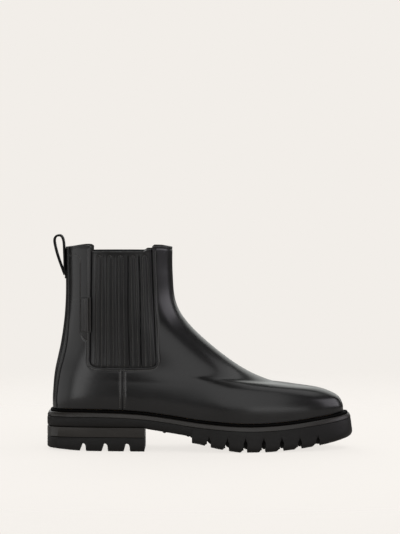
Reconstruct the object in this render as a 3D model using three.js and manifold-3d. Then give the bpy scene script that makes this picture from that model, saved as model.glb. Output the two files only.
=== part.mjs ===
// A men's chelsea boot, right foot, EU 42, on a lugged rubber sole.
// Millimetres. +X is the toe, -Y the outer (lateral) side, +Z up.
// The origin is on the ground, under the middle of the sole.

import * as THREE from 'three';
import { mergeVertices } from 'three/addons/utils/BufferGeometryUtils.js';
import Module from 'manifold-3d';

const wasm = await Module();
wasm.setup();

// ---------------------------------------------------------------- driving dimensions

const soleLength = 305.2;
const heelLength = 97.6;
const gap = 0.3; // what pieces that touch keep between them
const leather = 1.6;
const lining = 1.0;
const elastic = 0.9;
const weltThickness = 2.2;
const bevelHeight = 4.4; // the pale bevelled band at the top of the sole's edge
const heelTopPieceHeight = 13.5;
const heelLiftTop = 23.5;
const sideFlare = 2.4; // how far the forefoot's rubber flares out below the bevelled band
const heelGrow = 0.8; // how far the heel stands outside the top edge of the sole
const sideSeamX = -77;
const flexZ = 110; // where the rear of the shaft bends away from the heel
const collarZ = 202;
const shaftHalfWidth = 36.5;
const ankleNarrowing = 3; // how much narrower each side is at the ankle than at the collar
const sideSeamTop = 82.6; // the gussets' lower edge
const gussetTop = 198.4;
const strapWidth = 18;
const proud = 1.2; // how far the backstay's outer face stands off the quarters'

const rows = 16; // mesh rows from the welt to the collar
const columns = 34; // mesh columns round the boot
const far = 260; // beyond everything, for cutters
const handIn = 0.5; // a cut through a layer starts this far outside it

// ---------------------------------------------------------------- curves and helpers

/** 0 before a, 1 after b, and a smooth ramp between them. */
function ramp(a, b, x) {
  return THREE.MathUtils.smoothstep((x - a) / (b - a), 0, 1);
}

/** A smooth function through [x, value] points, in rising order of x. */
function smoothLine(points) {
  const slopes = points.map((point, i) => {
    const before = points[Math.max(i - 1, 0)];
    const after = points[Math.min(i + 1, points.length - 1)];
    return (after[1] - before[1]) / (after[0] - before[0]);
  });
  return (x) => {
    const at = THREE.MathUtils.clamp(x, points[0][0], points.at(-1)[0]);
    let i = 0;
    while (i < points.length - 2 && at > points[i + 1][0]) i += 1;
    const width = points[i + 1][0] - points[i][0];
    const t = (at - points[i][0]) / width;
    const rise = points[i + 1][1] - points[i][1];
    const a = slopes[i] * width - rise;
    const b = rise - slopes[i + 1] * width;
    return points[i][1] + t * rise + t * (1 - t) * (a * (1 - t) + b * t);
  };
}

/** x and |y| of a superellipse of the given end exponents, at an angle from the heel end. */
function roundedEnds(angle, heelPower, toePower) {
  const towardToe = -Math.cos(angle);
  const power = 2 / THREE.MathUtils.lerp(heelPower, toePower, ramp(-0.5, 0.5, towardToe));
  return {
    along: Math.sign(towardToe) * Math.abs(towardToe) ** power,
    across: Math.abs(Math.sin(angle)) ** power,
  };
}

// ---------------------------------------------------------------- the sole's outline

const soleTopZ = smoothLine([
  [-152, 38.2], [-99, 38], [-60, 36.4], [-28, 32.6], [0, 28.6],
  [46, 25.2], [84, 26.4], [126, 31.6], [152, 36],
]);
const treadCurve = smoothLine([
  [-8, 9.8], [12, 4.6], [28, 1.7], [41, 0], [65, 0], [82, 1.1], [105, 3.5], [130, 7.5], [152, 13],
]);
const shankBottomZ = smoothLine([[-54, 22.6], [-20, 17.4], [-6, 15.2]]);

/** The tread's lowest line: it rests flat on the ground under the ball of the foot. */
function treadZ(x) {
  return Math.max(0, treadCurve(x));
}

// Half widths of the foot's plan on each side of its curved middle line, before its ends are rounded.
const lateralPlan = smoothLine([[-146, 33], [-90, 33.5], [-40, 37.5], [30, 50], [70, 49.5], [146, 43]]);
const medialPlan = smoothLine([[-146, 33], [-90, 32], [-40, 32], [30, 45.5], [66, 48.5], [146, 45]]);
const toeBend = 4;
const evening = 0.02; // puts the sole's two widest points the same distance from the X-Z plane
const soleMargin = 4.2; // the sole's edge stands this far outside the foot's plan

/** The middle line bends inward from the ball to the toe. */
function middleY(x) {
  return toeBend * ramp(-20, 140, x) - evening;
}

/** A point on the sole's edge; grow is how far it stands outside the top edge. */
function soleEdge(angle, side, grow) {
  const ends = roundedEnds(angle, 3.6, 2.65);
  const reach = soleLength / 2 - (ends.along < 0 ? heelGrow : sideFlare);
  const x = ends.along * (reach + grow);
  const plan = (side < 0 ? lateralPlan : medialPlan)(x);
  const y = middleY(x) + side * ends.across * (plan + soleMargin + grow);
  return [x, y];
}

// ---------------------------------------------------------------- the upper's surface

// Sections through the upper from the welt to the collar, as the place where each meets
// the back seam and the middle of the front: [back x, back z, front x, front z].
const sections = [
  [-146.0, 41.0, 143.6, 37.0],
  [-146.2, 49.5, 142.6, 45.0],
  [-145.8, 58.0, 136.8, 53.6],
  [-145.0, 69.0, 121.0, 60.4],
  [-143.6, 80.0, 98.0, 63.8],
  [-141.0, 92.0, 72.0, 67.6],
  [-138.2, 105.0, 42.5, 80.8],
  [-135.8, 120.0, 12.0, 103.0],
  [-133.9, 137.0, -12.0, 126.0],
  [-132.9, 158.0, -24.2, 147.0],
  [-133.1, 182.0, -27.3, 176.0],
  [-133.4, 207.0, -27.5, 207.0],
];
const [backX, backZ, frontX, frontZ] = [0, 1, 2, 3].map((column) => smoothLine(
  sections.map((section, i) => [i / (sections.length - 1), section[column]]),
));

/** The upper's lower edge, which stands on the welt. */
function featherZ(x) {
  return soleTopZ(x) + weltThickness + 3 * gap;
}

/** A point on the outer face of the upper: s goes from 0 at the welt to 1 above the collar. */
function upperSurface(s, angle, side) {
  const low = 1 - ramp(0.05, 0.62, s);
  const ends = roundedEnds(angle, 2.2 + 1.2 * low, 2.08 + 0.47 * low);
  const halfLength = (frontX(s) - backX(s)) / 2;
  const x = backX(s) + halfLength * (1 + ends.along);
  const t = (x - backX(s)) / (2 * halfLength);
  const sag = featherZ(x) - THREE.MathUtils.lerp(backZ(0), frontZ(0), t);
  const z = THREE.MathUtils.lerp(backZ(s), frontZ(s), t) + sag * Math.max(0, 1 - s / 0.4) ** 2;
  const plan = (side < 0 ? lateralPlan : medialPlan)(x);
  const bulge = 1.6 * Math.sin(Math.PI * Math.min(1, s / 0.3)) - 1.2;
  const ankle = ankleNarrowing * ramp(0.2, 0.5, s) * ramp(0.95, 0.6, s);
  const half = THREE.MathUtils.lerp(shaftHalfWidth - ankle, plan + bulge, low);
  const middle = middleY(x) * low;
  return new THREE.Vector3(x, middle + side * ends.across * half, z);
}

/** The same point moved inward along the surface's normal by a depth. */
function upperPoint(s, turn, depthAt) {
  const place = (row, a) => {
    const folded = a > Math.PI ? 2 * Math.PI - a : Math.abs(a);
    return upperSurface(row, folded, a > Math.PI || a < 0 ? 1 : -1);
  };
  const small = 1e-3;
  const point = place(s, turn);
  const up = place(Math.min(1, s + small), turn).sub(place(Math.max(0, s - small), turn));
  const round = place(s, turn + 0.02).sub(place(s, turn - 0.02));
  const inward = up.cross(round).normalize();
  return point.addScaledVector(inward, depthAt(point.x, point.z));
}

// ---------------------------------------------------------------- solids

/** The solid of a closed geometry. */
function toSolid(geometry) {
  geometry.deleteAttribute('normal');
  geometry.deleteAttribute('uv');
  const merged = mergeVertices(geometry, 1e-5);
  return new wasm.Manifold(new wasm.Mesh({
    numProp: 3,
    vertProperties: new Float32Array(merged.attributes.position.array),
    triVerts: new Uint32Array(merged.index.array),
  }));
}

/** A solid from its points and its faces of three or four corners. */
function solidOf(points, faces) {
  const geometry = new THREE.BufferGeometry();
  geometry.setAttribute('position', new THREE.Float32BufferAttribute(points.flat(), 3));
  geometry.setIndex(faces.flatMap(([a, b, c, d]) => (
    d === undefined ? [a, b, c] : [a, b, c, a, c, d]
  )));
  return toSolid(geometry);
}

/** A layer of the upper between two depths, all the way round and open at the top and bottom. */
function layer(outerDepth, innerDepth) {
  const points = [];
  const faces = [];
  for (const depth of [outerDepth, innerDepth]) {
    for (let row = 0; row <= rows; row += 1) {
      for (let column = 0; column < columns; column += 1) {
        const point = upperPoint(row / rows, (2 * Math.PI * column) / columns, depth);
        points.push(point.toArray());
      }
    }
  }
  const at = (face, row, column) => (face * (rows + 1) + row) * columns + (column % columns);
  for (let column = 0; column < columns; column += 1) {
    for (let row = 0; row < rows; row += 1) {
      const [a, b] = [at(0, row, column), at(0, row, column + 1)];
      const [c, d] = [at(0, row + 1, column + 1), at(0, row + 1, column)];
      faces.push([a, b, c, d]);
      const inside = (rows + 1) * columns;
      faces.push([a + inside, d + inside, c + inside, b + inside]);
    }
    faces.push([at(1, 0, column), at(1, 0, column + 1), at(0, 0, column + 1), at(0, 0, column)]);
    const above = [at(0, rows, column), at(0, rows, column + 1)];
    faces.push([...above, at(1, rows, column + 1), at(1, rows, column)]);
  }
  return solidOf(points, faces);
}

/** A slab of the sole's plan. Its levels run from the bottom to the top, each with grow and z(x). */
function slab(levels, stations = 40) {
  const points = [];
  const faces = [];
  const loop = 2 * stations;
  for (const { grow, z } of levels) {
    for (let i = 0; i < loop; i += 1) {
      const onLateral = i <= stations;
      const angle = (Math.PI * (onLateral ? i : loop - i)) / stations;
      const [x, y] = soleEdge(angle, onLateral ? -1 : 1, grow);
      points.push([x, y, z(x)]);
    }
  }
  for (let level = 0; level + 1 < levels.length; level += 1) {
    for (let i = 0; i < loop; i += 1) {
      const next = (i + 1) % loop;
      const low = level * loop;
      faces.push([low + i, low + next, low + loop + next, low + loop + i]);
    }
  }
  const top = (levels.length - 1) * loop;
  for (let i = 0; i < stations; i += 1) {
    const across = [loop - i, loop - i - 1].map((k) => k % loop);
    const under = i === 0 ? [0, across[1], 1] : [i, across[0], across[1], i + 1];
    faces.push(under, under.map((corner) => top + corner).reverse());
  }
  return solidOf(points, faces.map((face) => face.filter((corner, k) => face.indexOf(corner) === k)));
}

/** An outline in the X-Z plane, carried along Y from one place to another. */
function prism(shape, fromY = -far, toY = far, curveSegments = 5) {
  const settings = { depth: toY - fromY, bevelEnabled: false, curveSegments };
  const geometry = new THREE.ExtrudeGeometry(shape, settings);
  geometry.rotateX(Math.PI / 2);
  geometry.translate(0, toY, 0);
  return toSolid(geometry);
}

/** A box from its lowest and highest corners. */
function block(low, high) {
  const size = high.map((value, i) => value - low[i]);
  const geometry = new THREE.BoxGeometry(...size);
  geometry.translate(...low.map((value, i) => value + size[i] / 2));
  return toSolid(geometry);
}

function outline(points) {
  return new THREE.Shape(points.map(([x, z]) => new THREE.Vector2(x, z)));
}

const boot = new THREE.Group();

/** Adds one named piece. */
function piece(name, solid, color, roughness, metalness = 0) {
  const { vertProperties, triVerts } = solid.getMesh();
  const geometry = new THREE.BufferGeometry();
  geometry.setAttribute('position', new THREE.BufferAttribute(vertProperties, 3));
  geometry.setIndex(new THREE.BufferAttribute(triVerts, 1));
  geometry.computeVertexNormals();
  const material = new THREE.MeshStandardMaterial({ color, roughness, metalness });
  const mesh = new THREE.Mesh(geometry, material);
  mesh.name = name;
  boot.add(mesh);
}

// ---------------------------------------------------------------- cutters of the upper

/** The opening for the elastic gusset, grown outward; the same on both sides. */
function gussetOutline(grow) {
  const corner = 8 + grow;
  const bottom = sideSeamTop - grow;
  const rear = -109.9 - grow;
  const front = -42.6 + grow;
  const shape = new THREE.Shape();
  shape.moveTo(rear + 3.2, far);
  shape.lineTo(rear, bottom + corner);
  shape.quadraticCurveTo(rear, bottom + 0.6, rear + corner, bottom + 0.6);
  shape.quadraticCurveTo((rear + front) / 2, bottom - 0.6, front - corner, bottom + 0.6);
  shape.quadraticCurveTo(front, bottom + 0.6, front, bottom + corner);
  shape.lineTo(front - 6.6, far);
  return shape;
}

/** Everything in front of the side seams and under the front of the collar. */
function frontOutline() {
  const shape = new THREE.Shape();
  shape.moveTo(sideSeamX + gap / 2, -far);
  shape.lineTo(far, -far);
  shape.lineTo(far, collarZ);
  shape.lineTo(-27.5, collarZ);
  shape.quadraticCurveTo(-36, collarZ + 1.6, -45, collarZ + 1);
  shape.quadraticCurveTo(-48, collarZ + 1, -48.5, collarZ - 3);
  shape.lineTo(sideSeamX + gap / 2, collarZ - 3);
  return shape;
}

/** Everything behind the side seams and under the back of the collar. */
function rearOutline() {
  const shape = new THREE.Shape();
  shape.moveTo(sideSeamX - gap / 2, -far);
  shape.lineTo(sideSeamX - gap / 2, collarZ - 3);
  shape.lineTo(-106.8, collarZ - 3);
  shape.quadraticCurveTo(-107.6, collarZ + 2, -112, collarZ + 2);
  shape.quadraticCurveTo(-124, collarZ + 1, -134, collarZ);
  shape.lineTo(-far, collarZ);
  shape.lineTo(-far, -far);
  return shape;
}

const gussetHole = prism(gussetOutline(gap / 2));
const front = prism(frontOutline()).subtract(gussetHole);
const rear = prism(rearOutline()).subtract(gussetHole);
const lateral = block([-far, -far, -far], [far, -gap / 2, far]);
const medial = block([-far, gap / 2, -far], [far, far, far]);
const aboveFlex = block([-far, -far, flexZ + gap / 2], [far, far, far]);
const belowFlex = block([-far, -far, -far], [far, far, flexZ - gap / 2]);

/** How deep under the outer face the lining lies: deeper where a stiffener backs the leather. */
function liningDepth(x, z) {
  const overToePuff = ramp(64, 80, x);
  const overCounter = ramp(-60, -76, x) * ramp(112, 98, z);
  return leather + gap + 1.3 * Math.max(overToePuff, overCounter);
}

// ---------------------------------------------------------------- the upper

const behindShaft = -100; // a cutter that ends here reaches only the back of the boot
const outerLeather = layer(() => 0, () => leather);
const innerLeather = layer(liningDepth, (x, z) => liningDepth(x, z) + lining);
const calf = 0x1d1c1c;

function makeLeather() {
  piece('vamp', outerLeather.intersect(front), calf, 0.3);
  const quarters = outerLeather.intersect(rear);
  for (const [side, half] of [['lateral', lateral], ['medial', medial]]) {
    const quarter = quarters.intersect(half);
    piece(`quarter_lower_${side}`, quarter.intersect(belowFlex), calf, 0.3);
    piece(`quarter_upper_${side}`, quarter.intersect(aboveFlex), calf, 0.3);
  }
}

function makeBackstay() {
  const halfWidth = 14;
  const strip = layer(() => -proud, () => -gap)
    .intersect(block([-far, -halfWidth, -far], [behindShaft, halfWidth, collarZ]));
  piece('backstay_lower', strip.intersect(belowFlex), calf, 0.32);
  piece('backstay_upper', strip.intersect(aboveFlex), calf, 0.32);
}

function makeLinings() {
  const liningColor = 0x262322;
  piece('vamp_lining', innerLeather.intersect(front), liningColor, 0.6);
  const rearLining = innerLeather.intersect(rear);
  piece('heel_lining', rearLining.intersect(belowFlex), liningColor, 0.6);
  piece('shaft_lining', rearLining.intersect(aboveFlex), liningColor, 0.6);
}

function makeStiffeners() {
  const stiffener = layer(() => leather + gap, () => leather + gap + 1);
  const fibreboard = 0x8d7f68;
  const toeOnly = block([97, -far, -far], [far, far, far]);
  piece('toe_puff', stiffener.intersect(toeOnly), fibreboard, 0.8);
  const counter = outline([
    [-far, -far], [-93, -far], [-93, 68], [-98, 76], [-116, 80], [-122, 92], [-far, 92],
  ]);
  piece('heel_counter', stiffener.intersect(prism(counter)), fibreboard, 0.8);
}

function makeGussets() {
  const underTop = block([-far, -far, -far], [far, far, gussetTop]);
  const opening = prism(gussetOutline(-gap / 2)).intersect(underTop);
  const cover = layer(() => 0.2, () => leather - 0.2).intersect(opening);
  const backing = layer(() => leather + 0.1, () => leather + 0.1 + elastic).intersect(opening);
  for (const [side, half] of [['lateral', lateral], ['medial', medial]]) {
    piece(`gusset_cover_${side}`, cover.intersect(half), 0x181717, 0.45);
    piece(`gusset_elastic_${side}`, backing.intersect(half), 0x121212, 0.9);
  }
}

/** A small folded tab sewn over the gusset's rear edge, on the lateral side only. */
function makeSideTab() {
  const tab = layer(() => -gap - 0.6, () => -gap)
    .intersect(block([-117.7, -far, 117.6], [-107.8, 0, 152]));
  piece('side_tab', tab, 0x1a1919, 0.35);
}

/** The pull strap: doubled back over itself into a narrow loop that stands behind the collar. */
function makePullLoop() {
  const strap = new THREE.Shape();
  strap.moveTo(-134.9, 176.5);
  strap.lineTo(-134.9, 203);
  strap.quadraticCurveTo(-135.2, 214, -141.2, 214);
  strap.quadraticCurveTo(-147, 214, -146.4, 207.5);
  strap.quadraticCurveTo(-145.4, 196, -138.6, 181);
  strap.quadraticCurveTo(-137.2, 178, -136.9, 176.5);
  const eye = new THREE.Path();
  eye.moveTo(-136.8, 184);
  eye.lineTo(-136.7, 203);
  eye.quadraticCurveTo(-137.2, 212.2, -141.2, 212.2);
  eye.quadraticCurveTo(-145.2, 212.2, -144.7, 207.3);
  eye.quadraticCurveTo(-143.7, 196.5, -138.2, 184);
  strap.holes.push(eye);
  piece('pull_loop', prism(strap, -strapWidth / 2, strapWidth / 2), calf, 0.35);
  const sewnEnd = layer(() => -proud - gap - 1.2, () => -proud - gap)
    .intersect(block([-far, -strapWidth / 2, 170.5], [behindShaft, strapWidth / 2, 176.1]));
  piece('pull_loop_root', sewnEnd, calf, 0.35);
}

// ---------------------------------------------------------------- inside the shoe

/** A plan-shaped slab that stands this far inside the sole's top edge. */
function innerSlab(inset, bottomZ, thickness) {
  return slab([
    { grow: -inset, z: bottomZ },
    { grow: -inset, z: (x) => bottomZ(x) + thickness },
  ], 30);
}

const weltInset = 12; // the welt's inner edge, from the sole's top edge
const insoleInset = 13.2;
const insoleThickness = 2.4;
const linerThickness = 2.2;

function makeInside() {
  const boardZ = (x) => featherZ(x) + gap;
  piece('insole_board', innerSlab(insoleInset, boardZ, insoleThickness), 0x9a7b55, 0.85);
  const linerZ = (x) => boardZ(x) + insoleThickness + gap;
  piece('sock_liner', innerSlab(insoleInset + 2 * gap, linerZ, linerThickness), 0x2a2624, 0.7);
}

function makeFillerAndShank() {
  const shankHalf = 7;
  const [shankBack, shankFront] = [-72, 12];
  const shankSlot = block([shankBack, -shankHalf, 0], [shankFront, shankHalf, far]);
  const level = (x) => soleTopZ(x) + gap;
  const filler = innerSlab(weltInset + gap, level, weltThickness);
  piece('cork_filler', filler.subtract(shankSlot), 0xa07a4e, 0.95);
  const strip = innerSlab(insoleInset, (x) => level(x) + 0.2, 1.4);
  const shank = block(
    [shankBack + gap, -shankHalf + gap, 0],
    [shankFront - gap, shankHalf - gap, far],
  );
  piece('shank', strip.intersect(shank), 0x9a9ca0, 0.35, 1);
}

// ---------------------------------------------------------------- welt and sole

function makeWelt() {
  const level = (x) => soleTopZ(x) + gap;
  const whole = slab([
    { grow: -2.4, z: level },
    { grow: -2.6, z: (x) => level(x) + weltThickness },
  ]);
  const hollow = slab([
    { grow: -weltInset, z: (x) => level(x) - handIn },
    { grow: -weltInset, z: (x) => level(x) + weltThickness + handIn },
  ], 30);
  piece('welt', whole.subtract(hollow), 0x1a1918, 0.4);
}

// Nails go from inside the shoe, through the sole, into the heel.
const nailRadius = 1.1;
const nailPlaces = [0, 1, 2, 3, 4].map((i) => {
  const turn = Math.PI * (0.5 + i / 4);
  return [-118 + 17 * Math.cos(turn), 17 * Math.sin(turn)];
});
const nailBottom = heelTopPieceHeight + 2;

function pin([x, y], radius, bottom, top) {
  const geometry = new THREE.CylinderGeometry(radius, radius, top - bottom, 8);
  geometry.rotateX(Math.PI / 2);
  geometry.translate(x, y, (bottom + top) / 2);
  return toSolid(geometry);
}

function makeHeelNails() {
  nailPlaces.forEach((place, i) => {
    const nail = pin(place, nailRadius, nailBottom, soleTopZ(place[0]) - gap);
    piece(`heel_nail_${i + 1}`, nail, 0xa8a9ab, 0.3, 1);
  });
}

function withNailHoles(solid) {
  return nailPlaces.reduce((body, place) => (
    body.subtract(pin(place, nailRadius + gap, nailBottom - gap, far))
  ), solid);
}

const heelBreastX = -soleLength / 2 + heelLength;

function heelOnly(solid) {
  return solid.intersect(block([-far, -far, -far], [heelBreastX, far, far]));
}

// ---------------------------------------------------------------- the lugged forefoot

const treadStart = -8; // where the lugged forefoot steps down from the waist
const firstGroove = 8.9;
const lugStep = 18;
const lugGrooves = [0, 1, 2, 3, 4, 5, 6].map((i) => firstGroove + i * lugStep);
const centreHalf = 14; // half the width of the tread's middle row of lugs
const channelDepth = 4.2;
const channelWidth = 4;

/** One pointed groove up the side of the forefoot. */
function lugGroove(x) {
  const tip = Math.max(treadZ(x) + 10.5, 14);
  const foot = treadZ(x) - 3;
  return outline([
    [x - 2.4, foot], [x + 1.6, foot], [x + 1.9, foot + 7],
    [x + 0.4, tip], [x - 0.4, tip], [x - 1.9, foot + 7],
  ]);
}

/** The shallow notch that carries each groove across the tread. */
function treadNotch(x) {
  const z = treadZ(x - 2.6);
  return outline([[x - 6, z - 1], [x + 0.6, z - 1], [x - 2, z + 2.2], [x - 3.4, z + 2.2]]);
}

/** A channel along the tread that parts the side lugs from the middle ones. */
function treadChannel() {
  const stops = [0, 18, 36, 54, 72, 90, 108, 124];
  const roof = stops.map((x) => [x, treadZ(x) + channelDepth]);
  return outline([[stops[0], -5], ...roof, [stops.at(-1), -5]]);
}

function cutTread(whole) {
  let tread = whole;
  for (const x of lugGrooves) {
    const groove = lugGroove(x);
    tread = tread.subtract(prism(groove, -far, -centreHalf - channelWidth / 2));
    tread = tread.subtract(prism(groove, centreHalf + channelWidth / 2, far));
    tread = tread.subtract(prism(treadNotch(x)));
  }
  const channel = treadChannel();
  tread = tread.subtract(prism(channel, -centreHalf - channelWidth, -centreHalf));
  return tread.subtract(prism(channel, centreHalf, centreHalf + channelWidth));
}

/** A low rib across the underside of the waist. */
function waistRib(x) {
  const z = shankBottomZ(x);
  const section = outline([
    [x - 2.4, z + 1], [x - 1.4, z - 1.3], [x + 1.4, z - 1.3], [x + 2.4, z + 1],
  ]);
  return prism(section, -38, 32);
}

function makeOutsole() {
  const top = (x) => soleTopZ(x) - bevelHeight - gap;
  const bottom = (x) => (x < treadStart ? shankBottomZ(x) : treadZ(x));
  const tread = cutTread(slab([
    { grow: 0.6, z: bottom },
    { grow: sideFlare, z: (x) => bottom(x) + 3.5 },
    { grow: heelGrow, z: top },
  ]));
  const forefoot = tread.intersect(block([treadStart, -far, -far], [far, far, far]));
  const overHeel = heelLiftTop + gap;
  const waistStart = heelBreastX + 10;
  const waist = slab([
    { grow: 0, z: (x) => (x < waistStart ? overHeel : shankBottomZ(x)) },
    { grow: heelGrow, z: top },
  ]).intersect(block([-far, -far, -far], [treadStart + 1, far, far]));
  const ribbed = waist.add(waistRib(-35)).add(waistRib(-13));
  piece('outsole', withNailHoles(forefoot.add(ribbed)), 0x1a1817, 0.7);
}

function makeMidsole() {
  const band = slab([
    { grow: 0.6, z: (x) => soleTopZ(x) - bevelHeight },
    { grow: 0.4, z: (x) => soleTopZ(x) - 1.2 },
    { grow: -0.8, z: soleTopZ },
  ]);
  piece('midsole', withNailHoles(band), 0x262422, 0.55);
}

/** A rounded groove right across the bottom of the heel. */
function heelGroove(x) {
  return prism(outline([
    [x - 3.6, -1], [x + 3.6, -1], [x + 2.9, 1.2], [x + 2.7, 5],
    [x + 1.2, 7.4], [x - 1.2, 7.4], [x - 2.7, 5], [x - 2.9, 1.2],
  ]));
}

function makeHeel() {
  const heelLift = slab([
    { grow: heelGrow, z: () => heelTopPieceHeight + gap },
    { grow: heelGrow, z: () => heelLiftTop },
  ]);
  piece('heel_lift', withNailHoles(heelOnly(heelLift)), 0x2a2826, 0.4);
  const rearRise = 2.6;
  let topPiece = slab([
    { grow: 0.2, z: (x) => rearRise * ramp(-108, -160, x) },
    { grow: heelGrow, z: () => 4 },
    { grow: heelGrow, z: () => heelTopPieceHeight },
  ]);
  for (const x of [-116, -94.2, -72.3]) topPiece = topPiece.subtract(heelGroove(x));
  piece('heel_top_piece', heelOnly(topPiece), 0x171615, 0.75);
}

makeLeather();
makeBackstay();
makeLinings();
makeStiffeners();
makeGussets();
makeSideTab();
makePullLoop();
makeInside();
makeFillerAndShank();
makeWelt();
makeMidsole();
makeOutsole();
makeHeel();
makeHeelNails();

export default boot;
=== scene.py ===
"""The looks of a men's chelsea boot, right foot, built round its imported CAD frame.

Shapes are worked out in millimetres in the CAD frame (+X toe, -Y lateral, +Z up) and scaled to metres
as each mesh is made.
"""

import math

import bmesh
import bpy
import numpy as np
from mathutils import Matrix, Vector
from mathutils.kdtree import KDTree


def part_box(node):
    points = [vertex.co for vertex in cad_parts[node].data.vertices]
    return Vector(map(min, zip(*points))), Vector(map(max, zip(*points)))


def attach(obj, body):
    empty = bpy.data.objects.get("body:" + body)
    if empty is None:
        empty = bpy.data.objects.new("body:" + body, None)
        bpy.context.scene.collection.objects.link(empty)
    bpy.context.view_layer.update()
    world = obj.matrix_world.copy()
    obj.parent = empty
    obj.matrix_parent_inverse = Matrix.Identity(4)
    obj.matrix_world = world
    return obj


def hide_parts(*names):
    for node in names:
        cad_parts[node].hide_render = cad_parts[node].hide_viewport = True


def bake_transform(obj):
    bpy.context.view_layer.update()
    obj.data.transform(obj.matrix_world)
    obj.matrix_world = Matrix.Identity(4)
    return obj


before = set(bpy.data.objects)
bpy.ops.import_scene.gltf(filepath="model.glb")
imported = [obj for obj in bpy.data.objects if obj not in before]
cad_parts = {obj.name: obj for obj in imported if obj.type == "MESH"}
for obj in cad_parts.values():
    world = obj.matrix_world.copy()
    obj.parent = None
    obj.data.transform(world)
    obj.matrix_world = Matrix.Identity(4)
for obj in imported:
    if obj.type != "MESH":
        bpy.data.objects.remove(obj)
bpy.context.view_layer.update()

MM = 0.001
TAU = 2 * math.pi

# ---------------- sizes, from the frame


def node_box(name):
    """A CAD node's lowest and highest corners in millimetres."""
    low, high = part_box(name)
    return np.array(low) / MM, np.array(high) / MM


SOLE_LOW, SOLE_HIGH = node_box("outsole")
GUSSET_LOW, GUSSET_HIGH = node_box("gusset_cover_lateral")
HEEL_HIGH = node_box("heel_top_piece")[1]
LIFT_LOW, LIFT_HIGH = node_box("heel_lift")
TAB_LOW, TAB_HIGH = node_box("side_tab")
LOOP_LOW, LOOP_HIGH = node_box("pull_loop")
LOOP_ROOT_Z = node_box("pull_loop_root")[0][2]
HEEL_BREAST = HEEL_HIGH[0]
COLLAR_Z = node_box("backstay_upper")[1][2]
SEAM_X = (node_box("vamp")[0][0] + node_box("quarter_lower_lateral")[1][0]) / 2
SOLE_LENGTH = SOLE_HIGH[0] - SOLE_LOW[0]

LEATHER = 1.6
LINING = 1.0
GAP = 0.3  # between two layers
SEAM_GAP = 0.12  # from the middle of a seam to the leather
WELT = 2.2
BEVEL = 4.4  # the height of the midsole's bevelled edge
SOLE_MARGIN = 4.2  # from the upper's plan to the sole's top edge
SIDE_FLARE = 2.4  # how far the forefoot's lugs stand outside the sole's top edge
HEEL_GROW = 0.8  # the same for the heel and the waist
HEEL_SQUARE, TOE_SQUARE = 3.6, 2.65  # the superellipse powers of the sole's ends
TOE_BEND = 4  # how far the middle line has moved inward at the toe
CENTRING = 0.02  # puts the bent sole in the middle of the frame
SHAFT_HALF_WIDTH = 36.5
ANKLE_NARROWING = 3.0
EDGE_STEPS = [0, 0.15, 0.35, 0.65, 1.0, 1.5, 2.0, 2.5, 3.0, 3.6, 4.4]  # closer rows beside a trimmed edge

# ---------------- curves


def ramp(a, b, x):
    """0 before a, 1 after b, and a smooth ramp between them."""
    t = np.clip((np.asarray(x, float) - a) / (b - a), 0, 1)
    return t * t * (3 - 2 * t)


def smooth_line(points):
    """A smooth function through (x, value) points, in rising order of x."""
    xs, ys = np.array(points, float).T
    last = len(xs) - 1
    before = np.maximum(np.arange(last + 1) - 1, 0)
    after = np.minimum(np.arange(last + 1) + 1, last)
    slopes = (ys[after] - ys[before]) / (xs[after] - xs[before])

    def value(x):
        at = np.clip(np.asarray(x, float), xs[0], xs[-1])
        i = np.clip(np.searchsorted(xs, at, side="left") - 1, 0, last - 1)
        width = xs[i + 1] - xs[i]
        t = (at - xs[i]) / width
        rise = ys[i + 1] - ys[i]
        a = slopes[i] * width - rise
        b = rise - slopes[i + 1] * width
        return ys[i] + t * rise + t * (1 - t) * (a * (1 - t) + b * t)

    return value


def rounded_ends(angle, heel_power, toe_power):
    """x and |y| of a superellipse whose end powers differ, at an angle from the heel end."""
    toward_toe = -np.cos(angle)
    toe_share = ramp(-0.5, 0.5, toward_toe)
    power = 2 / (heel_power + (toe_power - heel_power) * toe_share)
    along = np.sign(toward_toe) * np.abs(toward_toe) ** power
    return along, np.abs(np.sin(angle)) ** power


# Heights and half widths along the boot.
sole_top_z = smooth_line([
    (-152, 38.2), (-99, 38), (-60, 36.4), (-28, 32.6), (0, 28.6), (46, 25.2), (84, 26.4), (126, 31.6),
    (152, 36),
])
tread_curve = smooth_line([
    (-8, 9.8), (12, 4.6), (28, 1.7), (41, 0), (65, 0), (82, 1.1), (105, 3.5), (130, 7.5), (152, 13),
])
shank_bottom_z = smooth_line([(-54, 22.6), (-20, 17.4), (-6, 15.2)])
lateral_plan = smooth_line([(-146, 33), (-90, 33.5), (-40, 37.5), (30, 50), (70, 49.5), (146, 43)])
medial_plan = smooth_line([(-146, 33), (-90, 32), (-40, 32), (30, 45.5), (66, 48.5), (146, 45)])


def tread_z(x):
    return np.maximum(0, tread_curve(x))


def middle_y(x):
    """The middle line bends inward from the waist to the toe."""
    return TOE_BEND * ramp(-20, 140, x) - CENTRING


def sole_edge(angle, side, grow):
    """A point on the sole's edge; grow is how far it stands outside the top edge."""
    along, across = rounded_ends(angle, HEEL_SQUARE, TOE_SQUARE)
    reach = SOLE_LENGTH / 2 - np.where(along < 0, HEEL_GROW, SIDE_FLARE)
    x = along * (reach + grow)
    plan = np.where(side < 0, lateral_plan(x), medial_plan(x))
    y = middle_y(x) + side * across * (plan + SOLE_MARGIN + grow)
    return x, y


# ---------------- the upper's surface

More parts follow.
